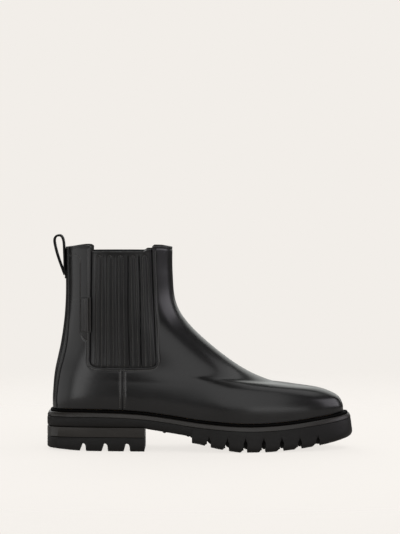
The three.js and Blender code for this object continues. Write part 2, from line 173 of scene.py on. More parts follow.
# Sections from the welt to the collar: back x, back z, front x, front z.
SECTIONS = [
    (-146.0, 41.0, 143.6, 37.0),
    (-146.2, 49.5, 142.6, 45.0),
    (-145.8, 58.0, 136.8, 53.6),
    (-145.0, 69.0, 121.0, 60.4),
    (-143.6, 80.0, 98.0, 63.8),
    (-141.0, 92.0, 72.0, 67.6),
    (-138.2, 105.0, 42.5, 80.8),
    (-135.8, 120.0, 12.0, 103.0),
    (-133.9, 137.0, -12.0, 126.0),
    (-132.9, 158.0, -24.2, 147.0),
    (-133.1, 182.0, -27.3, 176.0),
    (-133.4, 207.0, -27.5, 207.0),
]
SECTION_STEPS = [i / (len(SECTIONS) - 1) for i in range(len(SECTIONS))]
back_x, back_z, front_x, front_z = (
    smooth_line(list(zip(SECTION_STEPS, column))) for column in zip(*SECTIONS)
)


def feather_z(x):
    """The upper's lower edge, which stands on the welt."""
    return sole_top_z(x) + WELT + 3 * GAP


def feather_of(x):
    return float(feather_z(x))


def section_z(s, x):
    """The height of section s over a place along the boot."""
    t = (x - back_x(s)) / (front_x(s) - back_x(s))
    sag = feather_z(x) - (back_z(0) + (front_z(0) - back_z(0)) * t)
    return back_z(s) + (front_z(s) - back_z(s)) * t + sag * np.maximum(0, 1 - s / 0.4) ** 2


def section_x(s, angle):
    """x, the share of the half width, and how low the section is: 1 at the welt, with squarer ends."""
    low = 1 - ramp(0.05, 0.62, s)
    along, across = rounded_ends(angle, 2.2 + 1.2 * low, 2.08 + 0.47 * low)
    return back_x(s) + (front_x(s) - back_x(s)) / 2 * (1 + along), across, low


def upper_surface(s, turn):
    """The upper's outer face: s runs from the welt to the collar, turn from the back seam round the
    lateral side to the front (pi) and back along the medial side."""
    s, turn = np.broadcast_arrays(np.asarray(s, float), np.asarray(turn, float) % TAU)
    medial = turn > math.pi
    x, across, low = section_x(s, np.where(medial, TAU - turn, turn))
    plan = np.where(medial, medial_plan(x), lateral_plan(x))
    bulge = 1.6 * np.sin(math.pi * np.minimum(1, s / 0.3)) - 1.2
    shaft = SHAFT_HALF_WIDTH - ANKLE_NARROWING * ramp(0.2, 0.5, s) * ramp(0.95, 0.6, s)
    half = shaft + (plan + bulge - shaft) * low
    y = middle_y(x) * low + np.where(medial, 1, -1) * across * half
    return np.stack([x, y, section_z(s, x)], axis=-1)


def upper_normal(s, turn):
    """The direction into the boot."""
    small = 1e-3
    s = np.asarray(s, float)
    up = upper_surface(np.minimum(1, s + small), turn) - upper_surface(np.maximum(0, s - small), turn)
    round_ = upper_surface(s, turn + 0.02) - upper_surface(s, turn - 0.02)
    inward = np.cross(up, round_)
    return inward / np.linalg.norm(inward, axis=-1, keepdims=True)


def upper_point(s, turn, depth):
    """A place at a depth under the upper's outer face."""
    return upper_surface(s, turn) + upper_normal(s, turn) * np.asarray(depth, float)[..., None]


def lining_depth(x, z):
    """How deep the lining lies: deeper where a stiffener backs the leather."""
    over_toe_puff = ramp(64, 80, x)
    over_counter = ramp(-60, -76, x) * ramp(112, 98, z)
    return LEATHER + GAP + 1.3 * np.maximum(over_toe_puff, over_counter)


BISECTIONS = 40


def bisect(function, low, high):
    """Where a rising function crosses zero."""
    low = np.asarray(low, float).copy()
    high = np.asarray(high, float).copy()
    for _ in range(BISECTIONS):
        middle = (low + high) / 2
        under = function(middle) < 0
        low = np.where(under, middle, low)
        high = np.where(under, high, middle)
    return (low + high) / 2


def locate(x, z):
    """The section and the lateral turn of the place on the upper at a given x and z."""
    x, z = np.broadcast_arrays(np.asarray(x, float), np.asarray(z, float))
    s = bisect(lambda row: section_z(row, x) - z, np.zeros(x.shape), np.ones(x.shape))
    turn = bisect(lambda angle: section_x(s, angle)[0] - x, np.zeros(x.shape), np.full(x.shape, math.pi))
    return s, turn


# ---------------- outlines on the side of the boot


def arc_lengths(points):
    steps = np.linalg.norm(np.diff(points, axis=0), axis=-1)
    return np.concatenate([[0], np.cumsum(steps)])


def spaced(points, step, fine_end=False):
    """The same path with even steps, and closer ones at a trimmed end."""
    lengths = arc_lengths(points)
    total = lengths[-1]
    end = total - np.array(EDGE_STEPS)[::-1] if fine_end else np.array([total])
    count = max(2, int(round(end[0] / step)) + 1)
    places = np.concatenate([np.linspace(0, end[0], count), end[1:]])
    return np.stack([np.interp(places, lengths, points[:, k]) for k in range(points.shape[1])], axis=1)


def curve(a, b, c, count=12):
    """A quadratic curve from a to c, pulled towards b."""
    t = np.linspace(0, 1, count)[:, None]
    a, b, c = (np.array(p, float) for p in (a, b, c))
    return a * (1 - t) ** 2 + b * 2 * t * (1 - t) + c * t ** 2


GUSSET_BOTTOM = GUSSET_LOW[2] - 0.2
GUSSET_REAR = GUSSET_LOW[0]
GUSSET_FRONT = GUSSET_HIGH[0]
GUSSET_TOP = GUSSET_HIGH[2]
CORNER = 8  # how far the gusset's lower corners are rounded
REAR_LEAN, FRONT_LEAN = 3.2, 6.6  # how far the gusset's edges lean inward over LEAN_HEIGHT
LEAN_HEIGHT = 260 - GUSSET_BOTTOM


def gusset_rear_x(z):
    return GUSSET_REAR + REAR_LEAN * (z - GUSSET_BOTTOM) / LEAN_HEIGHT


def gusset_front_x(z):
    return GUSSET_FRONT - FRONT_LEAN * (z - GUSSET_BOTTOM) / LEAN_HEIGHT


def gusset_half(forward, grow, top):
    """Half the gusset's outline, from the middle of its lower edge to one of its upper corners."""
    corner = CORNER + grow
    bottom = GUSSET_BOTTOM - grow
    middle = (GUSSET_REAR + GUSSET_FRONT) / 2
    way = 1 if forward else -1
    low_x = (GUSSET_FRONT if forward else GUSSET_REAR) + way * grow
    edge = gusset_front_x if forward else gusset_rear_x
    corner_z = bottom + 0.6  # the lower edge sags a little towards its middle
    lower = curve((middle, bottom - 0.1), (middle + way * 14, bottom), (low_x - way * corner, corner_z))
    turn = curve(lower[-1], (low_x, corner_z), (low_x, bottom + corner))
    upper = np.array([[edge(z) + way * grow, z] for z in np.linspace(bottom + corner, top, 30)])
    return np.concatenate([lower, turn[1:], upper[1:]])


COLLAR_STEP = 4.6  # from the collar down to the gusset's top


def front_collar_z(x):
    """The front part's upper edge: it rises a little backward, then drops to the gusset in a soft step."""
    low_corner = ramp(-44.2, -50.5, x)
    return COLLAR_Z + 1.2 * ramp(-27.5, -40, x) - COLLAR_STEP * low_corner


def rear_collar_z(x):
    """The rear part's upper edge: rising forward, then rounded down to the gusset."""
    past_corner = np.clip((x + 112.0) / 5.2, 0, 0.999)
    return COLLAR_Z + 1.9 * ramp(-133, -113, x) - COLLAR_STEP * (1 - np.sqrt(1 - past_corner ** 2))


# ---------------- meshes


def placed(name, data):
    """A new object in the scene."""
    obj = bpy.data.objects.new(name, data)
    bpy.context.scene.collection.objects.link(obj)
    return obj


def new_object(name, points, faces, material, smooth_angle=50.0):
    """An object from points in millimetres."""
    mesh = bpy.data.meshes.new(name)
    mesh.from_pydata((np.asarray(points, float).reshape(-1, 3) * MM).tolist(), [], faces)
    mesh.validate()
    mesh.shade_smooth()
    mesh.set_sharp_from_angle(angle=math.radians(smooth_angle))
    mesh.materials.append(material)
    return placed(name, mesh)


def face_outward(obj):
    """Turns a closed mesh's faces to point out of it."""
    bm = bmesh.new()
    bm.from_mesh(obj.data)
    bmesh.ops.recalc_face_normals(bm, faces=bm.faces)
    bm.to_mesh(obj.data)
    bm.free()


def tube_faces(rings, ring, first=0):
    """The faces of a tube of rings of points, with both ends closed."""
    faces = []
    for j in range(rings - 1):
        for k in range(ring):
            a = first + j * ring + k
            b = first + j * ring + (k + 1) % ring
            faces.append([a, b, b + ring, a + ring])
    faces.append([first + k for k in range(ring)][::-1])
    faces.append([first + (rings - 1) * ring + k for k in range(ring)])
    return faces


def grid_faces(rows, columns, first=0, flip=False):
    """The faces of a grid of points, row by row."""
    r, c = np.meshgrid(np.arange(rows - 1), np.arange(columns - 1), indexing="ij")
    a = first + r * columns + c
    faces = np.stack([a, a + 1, a + columns + 1, a + columns], axis=-1).reshape(-1, 4)
    return (faces[:, ::-1] if flip else faces).tolist()


def rim_faces(rows, columns):
    """The edge faces that join a grid to the one behind it."""
    top = rows * columns
    border = (
        list(range(columns))
        + [r * columns + columns - 1 for r in range(1, rows)]
        + [(rows - 1) * columns + c for c in range(columns - 2, -1, -1)]
        + [r * columns for r in range(rows - 2, 0, -1)]
    )
    following = border[1:] + border[:1]
    return [[b, a, a + top, b + top] for a, b in zip(border, following)]


def sheet_object(name, outer, inner, material, wear_and_shade=None):
    """A thin closed sheet from its outer and inner grids of points."""
    rows, columns = outer.shape[:2]
    points = np.concatenate([outer.reshape(-1, 3), inner.reshape(-1, 3)])
    faces = (
        grid_faces(rows, columns)
        + grid_faces(rows, columns, rows * columns, flip=True)
        + rim_faces(rows, columns)
    )
    obj = new_object(name, points, faces, material)
    if wear_and_shade is not None:
        # a per-point edge mask: wear, and where the edge colour is the dark one, painted shade along the
        # edges
        layer = obj.data.attributes.new("edge_wear_and_shade", "FLOAT", "POINT")
        layer.data.foreach_set("value", np.concatenate([wear_and_shade.ravel(), wear_and_shade.ravel()]).astype(np.float32))
    return obj


def between(left, right, columns, fine_left=True, through=None):
    """A grid of (s, turn) between two paths, with closer columns at trimmed edges. A row is a straight
    line in s and turn, or two that meet at the path given as through."""
    w = np.linspace(0, 1, 401)
    stops = [0, 1] if through is None else [0, 0.5, 1]
    paths = [left, right] if through is None else [left, through, right]
    s = np.array([np.interp(w, stops, [p[i, 0] for p in paths]) for i in range(len(left))])
    turn = np.array([np.interp(w, stops, [p[i, 1] for p in paths]) for i in range(len(left))])
    points = upper_surface(s, turn)
    grids = []
    for row in range(len(left)):
        lengths = arc_lengths(points[row])
        total = lengths[-1]
        start = np.array(EDGE_STEPS if fine_left else [0.0])
        end = total - np.array(EDGE_STEPS)[::-1]
        places = np.concatenate([start[:-1], np.linspace(start[-1], end[0], columns), end[1:]])
        at = np.interp(places, lengths, w)
        grids.append((np.interp(at, w, s[row]), np.interp(at, w, turn[row])))
    return np.array([g[0] for g in grids]), np.array([g[1] for g in grids])


COLLAR_REACH = 0.12  # how much of s, under the collar, bends to the collar's line


def raised_to_collar(s, turn, collar_z):
    """The grid with its upper rows moved so that the last one follows the collar's line."""
    x = upper_surface(s[-1], turn[-1])[:, 0]
    wanted = bisect(lambda row: section_z(row, x) - collar_z(x), np.full(x.shape, 0.5), np.ones(x.shape))
    weight = np.clip((s - s[-1] + COLLAR_REACH) / COLLAR_REACH, 0, 1) ** 1.5
    return s + (wanted - s[-1]) * weight


def distance_to(points, edges):
    """How far each point is from the nearest of the edge points."""
    tree = KDTree(len(edges))
    for i, edge in enumerate(edges):
        tree.insert(edge, i)
    tree.balance()
    flat = points.reshape(-1, 3)
    return np.array([tree.find(p)[2] for p in flat]).reshape(points.shape[:-1])


def rolled_edge(distance, radius=0.75):
    """How far a cut edge of leather rolls down at a distance from it."""
    inside = np.clip(1 - distance / radius, 0, 1)
    return radius * (1 - np.sqrt(1 - inside ** 2))


def dent(distance, centre, width, depth):
    """The hollow that a line of stitches pulls into leather."""
    return depth * np.exp(-((distance - centre) / width) ** 2)


def standing_for(obj, slot, *nodes):
    """Hides the CAD nodes that a piece replaces, if any. The slot is not used."""
    if nodes:
        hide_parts(*nodes)


def blended(obj, slot, *nodes):
    """A piece of the shaft, baked in place: the CAD nodes that it replaces are hidden and its transform is
    applied to its mesh."""
    standing_for(obj, slot, *nodes)
    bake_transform(obj)


def riding(obj, body, slot, *nodes):
    """A piece that moves with one body."""
    standing_for(obj, slot, *nodes)
    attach(obj, body)


# ---------------- materials


def material(name):
    """A new material and its shader."""
    mat = bpy.data.materials.new(name)
    mat.use_nodes = True
    nodes = mat.node_tree.nodes
    nodes.clear()
    output = nodes.new("ShaderNodeOutputMaterial")
    shader = nodes.new("ShaderNodeBsdfPrincipled")
    mat.node_tree.links.new(shader.outputs[0], output.inputs[0])
    return mat, shader


def set_inputs(node, values):
    """Sets a node's unlinked sockets by name."""
    for socket, value in values.items():
        node.inputs[socket].default_value = value


class Nodes:
    """Short ways to add nodes to a material."""

    def __init__(self, mat):
        self.tree = mat.node_tree
        self.place = self.add("ShaderNodeTexCoord").outputs["Object"]

    def add(self, kind, **settings):
        node = self.tree.nodes.new(kind)
        for key, value in settings.items():
            setattr(node, key, value)
        return node

    def link(self, source, target):
        self.tree.links.new(source, target)

    def noise(self, per_metre, detail=4.0, roughness=0.55, stretch=(1, 1, 1)):
        mapping = self.add("ShaderNodeMapping")
        set_inputs(mapping, {"Scale": stretch})
        self.link(self.place, mapping.inputs["Vector"])
        noise = self.add("ShaderNodeTexNoise")
        set_inputs(noise, {"Scale": per_metre, "Detail": detail, "Roughness": roughness})
        self.link(mapping.outputs[0], noise.inputs["Vector"])
        return noise.outputs["Fac"]

    def cells(self, per_metre):
        voronoi = self.add("ShaderNodeTexVoronoi")
        set_inputs(voronoi, {"Scale": per_metre})
        self.link(self.place, voronoi.inputs["Vector"])
        return voronoi.outputs["Distance"]

    def spread(self, value, low, high, from_low=0.3, from_high=0.7):
        """Maps a texture's value onto a range."""
        node = self.add("ShaderNodeMapRange")
        set_inputs(node, {"From Min": from_low, "From Max": from_high, "To Min": low, "To Max": high})
        self.link(value, node.inputs["Value"])
        return node.outputs[0]

    def mix(self, factor, a, b):
        """A colour between two, each a colour or another node's output."""
        node = self.add("ShaderNodeMix", data_type="RGBA")
        self.link(factor, node.inputs["Factor"])
        for value, socket in ((a, node.inputs[6]), (b, node.inputs[7])):
            if isinstance(value, tuple):
                socket.default_value = (*value, 1)
            else:
                self.link(value, socket)
        return node.outputs[2]

    def math(self, operation, a, b):
        node = self.add("ShaderNodeMath", operation=operation)
        for value, socket in ((a, node.inputs[0]), (b, node.inputs[1])):
            if isinstance(value, (int, float)):
                socket.default_value = value
            else:
                self.link(value, socket)
        return node.outputs[0]

    def bump(self, shader, *layers):
        """Bump from (height, millimetres deep, strength) layers."""
        normal = None
        for height, deep, strength in layers:
            node = self.add("ShaderNodeBump")
            set_inputs(node, {"Distance": deep * MM, "Strength": strength})
            self.link(height, node.inputs["Height"])
            if normal is not None:
                self.link(normal, node.inputs["Normal"])
            normal = node.outputs[0]
        self.link(normal, shader.inputs["Normal"])


RUBBED = (0.10, 0.095, 0.09)  # leather rubbed bare of its polish
EDGE_DYE_AND_SHADE = (0.002, 0.002, 0.002)  # a cut edge, dyed black and left unpolished, and darker than the leather as painted shade for the shadow in seams and along trimmed edges


def leather_material(
    name, dark, light, roughness, grain, coat=0.0, coat_roughness=0.2, wear_and_shade=EDGE_DYE_AND_SHADE, specular=0.5,
):
    """Smooth dyed leather: fine pores, faint creases, uneven polish, and edges dyed or rubbed. The dark edge
    colour is partly real edge dye and partly painted shade for the shadow in seams and along trimmed edges.
    """
    mat, shader = material(name)
    n = Nodes(mat)
    patches = n.noise(38, detail=5)
    fine = n.noise(900, detail=3)
    pores = n.cells(1500)
    creases = n.noise(210, detail=6, roughness=0.62, stretch=(1, 1, 1.6))
    colour = n.mix(n.spread(patches, 0, 1), dark, light)
    edge = n.add("ShaderNodeAttribute", attribute_name="edge_wear_and_shade").outputs["Fac"]
    # mixes the edge colour in along the mask: rubbed wear on the tab, edge dye plus painted shade on the
    # calf pieces
    rubbed_and_shaded = n.math("MULTIPLY", edge, n.spread(fine, 0.25, 1.0))
    n.link(n.mix(rubbed_and_shaded, colour, wear_and_shade), shader.inputs["Base Color"])
    polish = n.math("ADD", n.spread(patches, -0.04, 0.05), n.spread(fine, -0.02, 0.03))
    unpolished = n.math("MULTIPLY", edge, 0.3)
    n.link(n.math("ADD", n.math("ADD", polish, roughness), unpolished), shader.inputs["Roughness"])
    set_inputs(shader, {
        "Coat Weight": coat, "Coat Roughness": coat_roughness, "Specular IOR Level": specular,
    })
    n.bump(
        shader, (creases, 0.12, 0.30 * grain), (pores, 0.05, 0.35 * grain), (fine, 0.05, 0.25 * grain),
    )
    return mat


def elastic_material():
    """Woven elastic: fine upright ribs crossed by weft threads."""
    mat, shader = material("gusset_elastic")
    n = Nodes(mat)
    weft = n.add("ShaderNodeTexWave", wave_type="BANDS", bands_direction="Z")
    set_inputs(weft, {"Scale": 460, "Distortion": 0.6})
    n.link(n.place, weft.inputs["Vector"])
    fuzz = n.noise(2400, detail=3)
    colour = n.mix(weft.outputs["Fac"], (0.008, 0.008, 0.009), (0.03, 0.03, 0.032))
    n.link(colour, shader.inputs["Base Color"])
    n.link(n.spread(fuzz, 0.75, 0.95), shader.inputs["Roughness"])
    set_inputs(shader, {"Sheen Weight": 0.3})
    n.bump(shader, (weft.outputs["Fac"], 0.15, 0.8), (fuzz, 0.08, 0.5))
    return mat


def highlit_thread_material():
    """Waxed thread, twisted. Its grey is a painted highlight: lighter than the dark thread itself, so the
    stitches show as bright dots.
    """
    mat, shader = material("thread_painted_highlight")
    n = Nodes(mat)
    twist = n.noise(3200, detail=2, stretch=(1, 1, 0.4))
    colour = n.mix(n.spread(twist, 0, 1), (0.09, 0.087, 0.083), (0.19, 0.183, 0.173))
    n.link(colour, shader.inputs["Base Color"])
    n.link(n.spread(twist, 0.5, 0.7), shader.inputs["Roughness"])
    set_inputs(shader, {"Specular IOR Level": 0.25})
    n.bump(shader, (twist, 0.08, 0.5))
    return mat


def rubber_material(name, dark, light, roughness, specular):
    """Moulded rubber: a fine matt skin, faint flow marks and scuffs."""
    mat, shader = material(name)
    n = Nodes(mat)
    flow = n.noise(26, detail=5, stretch=(1, 1, 3))
    skin = n.noise(1900, detail=4, roughness=0.6)
    scuffs = n.noise(140, detail=7, roughness=0.7, stretch=(1, 1, 2.5))
    n.link(n.mix(n.spread(flow, 0, 1), dark, light), shader.inputs["Base Color"])
    finish = n.math("ADD", n.spread(flow, -0.05, 0.06), n.spread(scuffs, -0.06, 0.08))
    n.link(n.math("ADD", finish, roughness), shader.inputs["Roughness"])
    set_inputs(shader, {"Specular IOR Level": specular})
    n.bump(shader, (scuffs, 0.08, 0.25), (skin, 0.05, 0.35))
    return mat


def steel_material():
    """Plain steel, brushed along its length."""
    mat, shader = material("steel")
    n = Nodes(mat)
    brushed = n.noise(500, detail=3, stretch=(0.06, 1, 1))
    colour = n.mix(n.spread(brushed, 0, 1), (0.42, 0.43, 0.45), (0.62, 0.63, 0.65))
    n.link(colour, shader.inputs["Base Color"])
    set_inputs(shader, {"Metallic": 1})
    n.link(n.spread(brushed, 0.25, 0.45), shader.inputs["Roughness"])
    n.bump(shader, (brushed, 0.03, 0.4))
    return mat


def pressed_material(name, dark, light, per_metre):
    """Pressed granules or fibres, such as cork, leatherboard or a stiffener."""
    mat, shader = material(name)
    n = Nodes(mat)
    grains = n.cells(per_metre)
    fibres = n.noise(per_metre * 1.7, detail=5)
    n.link(n.mix(n.spread(grains, 0, 1, 0.1, 0.9), dark, light), shader.inputs["Base Color"])
    n.link(n.spread(fibres, 0.77, 0.93), shader.inputs["Roughness"])
    n.bump(shader, (grains, 0.3, 0.5), (fibres, 0.1, 0.5))
    return mat


CALF = leather_material(
    "calf_leather", (0.0048, 0.0046, 0.0048), (0.0085, 0.0081, 0.0084), 0.31, grain=0.55,
    coat=0.6, coat_roughness=0.22, specular=0.32,
)
GUSSET_LEATHER = leather_material(
    "gusset_leather", (0.0040, 0.0038, 0.0040), (0.0075, 0.0071, 0.0074), 0.34, grain=1.0,
    coat=0.25, specular=0.4,
)
TAB = leather_material(
    "tab_leather", (0.008, 0.0076, 0.0076), (0.014, 0.013, 0.013), 0.3, grain=0.6, coat=0.3, wear_and_shade=RUBBED,
)
STRAP = leather_material(
    "strap_leather", (0.003, 0.0029, 0.0029), (0.007, 0.0066, 0.0066), 0.5, grain=1.0, specular=0.25,
)
LINING_LEATHER = leather_material(
    "lining_leather", (0.020, 0.019, 0.018), (0.032, 0.030, 0.028), 0.62, grain=2.0,
    wear_and_shade=(0.06, 0.055, 0.05),
)
ELASTIC = elastic_material()
THREAD_HIGHLIGHT = highlit_thread_material()
RUBBER = rubber_material("sole_rubber", (0.0062, 0.0056, 0.0052), (0.011, 0.0098, 0.0092), 0.5, 0.3)
BAND = rubber_material("sole_band", (0.022, 0.0195, 0.0172), (0.034, 0.0305, 0.027), 0.36, 0.5)
# Near black and darker than the calf: partly the welt's own dye, partly painted shade for the shadow in the
# gap under the upper.
WELT_SHADE_MAT = leather_material(
    "welt", (0.0015, 0.0014, 0.0014), (0.004, 0.0037, 0.0035), 0.8, grain=1.2, specular=0.08,
)
STEEL = steel_material()
CORK = pressed_material("cork", (0.22, 0.12, 0.05), (0.5, 0.33, 0.17), 700)
BOARD = pressed_material("insole_board", (0.33, 0.22, 0.12), (0.46, 0.34, 0.22), 1500)
STIFFENER = pressed_material("stiffener", (0.36, 0.32, 0.25), (0.5, 0.45, 0.36), 1900)

# ---------------- stitching


STITCH_SHARE = 0.8  # a stitch's length as a share of the pitch
STITCH_RINGS = 5
STITCH_SIDES = 6
STITCH_SINK = 0.06  # how far a stitch's middle line lies below the leather


def unit(vector):
    return vector / np.linalg.norm(vector)


def along_path(place, lengths, values):
    """The values at a distance along a path."""
    return np.array([np.interp(place, lengths, values[:, k]) for k in range(3)])


def stitch(start, end, inward, radius):
    """One stitch's rings of points: a short bar of thread that dips into the leather at both ends."""
    along = end - start
    across = unit(np.cross(along, inward))
    into = unit(np.cross(across, along))
    points = []
    for j in range(STITCH_RINGS):
        share = j / (STITCH_RINGS - 1)
        swell = math.sin(math.pi * (0.12 + 0.76 * share)) ** 0.5
        dip = (1 - swell) * radius * 1.3
        centre = start + along * share + into * (STITCH_SINK + dip)
        for k in range(STITCH_SIDES):
            a = TAU * k / STITCH_SIDES
            points.append(centre + radius * swell * (across * math.cos(a) - into * math.sin(a)))
    return points


def stitch_rows(name, rows, slot="gusset_leather", pitch=2.3, radius=0.26):
    """Rows of stitches, one object. Each row is a list of (s, turn, depth) places to follow."""
    points = []
    faces = []
    for row in rows:
        s, turn, depth = np.asarray(row, float).T
        path = upper_point(s, turn, depth)
        inward = upper_normal(s, turn)
        lengths = arc_lengths(path)
        count = max(1, int(lengths[-1] / pitch))
        for i in range(count):
            middle = (i + 0.5) * lengths[-1] / count
            half = pitch * STITCH_SHARE / 2
            ends = [along_path(middle + way * half, lengths, path) for way in (-1, 1)]
            faces += tube_faces(STITCH_RINGS, STITCH_SIDES, len(points))
            points += stitch(*ends, along_path(middle, lengths, inward), radius)
    obj = new_object(name, np.array(points), faces, THREAD_HIGHLIGHT)
    face_outward(obj)
    blended(obj, slot)


def side_path(points, medial, depth=0.0):
    """(s, turn, depth) places for a path of (x, z) points on one side of the boot."""
    points = np.asarray(points, float)
    s, turn = locate(points[:, 0], points[:, 1])
    turn = TAU - turn if medial else turn
    return np.stack([s, turn, np.full(len(s), depth)], axis=1)


SIDES = (("lateral", False), ("medial", True))
STITCH_IN = 2.5  # from an edge to its row of stitches
BACK_SEAM_TURN = 0.004  # from the middle of the back to a quarter's edge

# ---------------- the vamp and quarters


def side_boundary(forward, seam_x):
    """The vamp's trimmed edge on one side, or if not forward, the quarter's: up the side seam, along under
    the gusset and up to the collar."""
    way = 1 if forward else -1
    x = seam_x + way * SEAM_GAP
    top = COLLAR_Z - (3.4 if forward else 2.8)
    heights = np.linspace(feather_of(x) + 0.01, GUSSET_BOTTOM - 0.6, 20)
    seam = np.array([[x, z] for z in heights])
    gusset = gusset_half(forward, SEAM_GAP, top)
    beyond_seam = gusset[way * gusset[:, 0] > way * x]
    return spaced(np.concatenate([seam, beyond_seam]), 1.3, fine_end=True)


def mirrored(path):
    """The same path on the other side of the boot."""
    return np.stack([path[:, 0], TAU - path[:, 1]], axis=1)


def front_grid(columns=170, seam_x=SEAM_X):
    """Everything in front of the gussets and the side seams."""
    s, turn = locate(*side_boundary(True, seam_x).T)
    left = np.stack([s, turn], axis=1)
    s, turn = between(left, mirrored(left), columns)
    return raised_to_collar(s, turn, front_collar_z), turn


def rear_sections(boundary):
    """Where each of the quarter's rows starts at the back seam. They lag behind the front edge under
    the gusset, so that no two rows cross."""
    s, _ = locate(*boundary.T)
    lengths = arc_lengths(boundary)
    height = boundary[:, 1]
    corner = lengths[np.argmax(height > GUSSET_BOTTOM + 9)]
    seam_end = lengths[np.argmax(height > GUSSET_BOTTOM - 1)]
    lag = np.interp(lengths, [0, seam_end, corner, lengths[-1]], [0, 0.10, 0.0, 0.0])
    return np.stack([s - lag, np.zeros(len(s))], axis=1)


def rear_grid(columns=130, both=False, seam_x=SEAM_X):
    """Everything behind the gussets and the side seams, on the lateral side or on both."""
    boundary = side_boundary(False, seam_x)
    s, turn = locate(*boundary.T)
    edge = np.stack([s, turn], axis=1)
    seam = rear_sections(boundary)
    if both:
        other = np.stack([s, -turn], axis=1)
        grid_s, grid_turn = between(other, edge, columns, through=seam)
    else:
        seam[:, 1] = BACK_SEAM_TURN
        grid_s, grid_turn = between(seam, edge, columns, fine_left=False)
    return raised_to_collar(grid_s, grid_turn, rear_collar_z), grid_turn


def edges_of(points, left=True, right=True):
    """The trimmed edges of a grid, as closely spaced points."""
    edges = [points[-1]]
    if left:
        edges.append(points[:, 0])
    if right:
        edges.append(points[:, -1])
    return np.concatenate([spaced(edge, 0.25) for edge in edges])


def soft_folds(points):
    """Faint waves that a lasted upper keeps round the ankle."""
    x, y, z = points[..., 0], points[..., 1], points[..., 2]
    ankle = np.exp(-((x + 30) / 40) ** 2 - ((z - 95) / 34) ** 2)
    waves = np.sin(0.11 * z + 0.06 * x + 0.5) * np.sin(0.05 * x - 0.03 * z + 0.04 * y)
    return 0.35 * ankle * waves


def leather_sheet(name, s, turn, left=True, right=True, seam=None):
    """A leather piece on the upper, with rolled edges, a stitched border and perhaps a stitched line."""
    surface = upper_surface(s, turn)
    distance = distance_to(surface, edges_of(surface, left, right))
    outer_depth = rolled_edge(distance) + dent(distance, STITCH_IN, 0.7, 0.3) + soft_folds(surface)
    if seam is not None:
        outer_depth = outer_depth + dent(distance_to(surface, seam), 0, 0.6, 0.6)
    # mask along the trimmed edges for the dark edge colour: edge dye plus painted shade in the seams
    wear_and_shade = np.exp(-(distance / 0.9) ** 2)
    inner_depth = np.maximum(outer_depth + 0.4, LEATHER)
    outer = upper_point(s, turn, outer_depth)
    return sheet_object(name, outer, upper_point(s, turn, inner_depth), CALF, wear_and_shade)


def flipped(s, turn):
    """The same grid on the other side of the boot, with its faces still pointing out."""
    return s[:, ::-1], (TAU - turn)[:, ::-1]


def make_vamp():
    s, turn = front_grid()
    blended(leather_sheet("vamp_leather", s, turn), "calf_leather", "vamp")


def make_quarters():
    s, turn = rear_grid()
    for name, medial in SIDES:
        grid = flipped(s, turn) if medial else (s, turn)
        seam = side_path(spaced(panel_line(), 0.5), medial)
        seam = upper_surface(seam[:, 0], seam[:, 1])
        obj = leather_sheet(f"quarter_{name}", *grid, left=medial, right=not medial, seam=seam)
        blended(obj, "calf_leather", f"quarter_lower_{name}", f"quarter_upper_{name}")


BACKSTAY_PROUD = 1.15  # how far the backstay stands off the quarters
BACKSTAY_STITCH_IN = 1.8


def back_section(z):
    """The section at a height on the back seam."""
    return bisect(lambda row: back_z(row) - z, np.zeros(len(z)), np.ones(len(z)))


def half_turn(s, width):
    """The turn at a distance round from the back seam."""
    turns = np.linspace(0, 1.3, 300)
    result = []
    for row, distance in zip(s, width):
        around = upper_surface(np.full(len(turns), row), turns)
        result.append(np.interp(distance, arc_lengths(around), turns))
    return np.array(result)


def across_back(s, turn, columns):
    """A grid across the back seam, from a turn on one side to the same turn on the other."""
    return between(np.stack([s, -turn], axis=1), np.stack([s, turn], axis=1), columns)


def backstay_paths(inset=0.0):
    """The backstay's edge on the lateral side: a little wider towards the heel."""
    z = np.linspace(feather_of(-146) + 0.2, COLLAR_Z - 0.1, 90)
    s = back_section(z)
    width = 14 + 2.5 * ramp(150, 50, z) - inset
    return s, half_turn(s, width)


def make_backstay():
    s, turn = across_back(*backstay_paths(), 26)
    surface = upper_surface(s, turn)
    distance = distance_to(surface, edges_of(surface))
    proud = BACKSTAY_PROUD - rolled_edge(distance, 0.9) - dent(distance, BACKSTAY_STITCH_IN, 0.7, 0.18)
    under = upper_point(s, turn, -0.05)
    # mask along the backstay's edges for the dark edge colour: edge dye plus painted shade in the seams
    wear_and_shade = np.exp(-(distance / 0.9) ** 2)
    obj = sheet_object("backstay", upper_point(s, turn, -proud), under, CALF, wear_and_shade)
    blended(obj, "calf_leather", "backstay_lower", "backstay_upper")


# ---------------- the gussets

# Across the cover, as shares of its width: the stitched channels' middles, and the folds between them.
CHANNELS = [0.134, 0.309, 0.478, 0.684, 0.875]
FOLDS = [(0.222, 0.4), (0.392, 0.5), (0.598, 1.3), (0.779, 1.2)]  # each with its depth
CHANNEL_HALF = 2.65
CHANNEL_TOP = GUSSET_TOP - 4.4
GUSSET_WIDTH = GUSSET_FRONT - GUSSET_REAR
TUCK = 1.2  # how far the cover and the elastic go under the leather beside them
COVER_DEPTH = 1.15  # at a row of stitches, where the cover is pulled in
COVER_UNDER = 1.75  # just under the leather's inner face
COVER_INNER = 1.95
ELASTIC_OUTER, ELASTIC_INNER = 2.0, 2.55
ELASTIC_RIB = 1.5  # from one of the elastic's ribs to the next


def gusset_x(share, z):
    """x at a share of the gusset's width."""
    return gusset_rear_x(z) + share * (gusset_front_x(z) - gusset_rear_x(z))


def gusset_top(x):
    """The cover's upper edge, with a small lift beside the front of the collar."""
    return GUSSET_TOP - 0.4 + 1.9 * ramp(-55.5, -51.5, x)


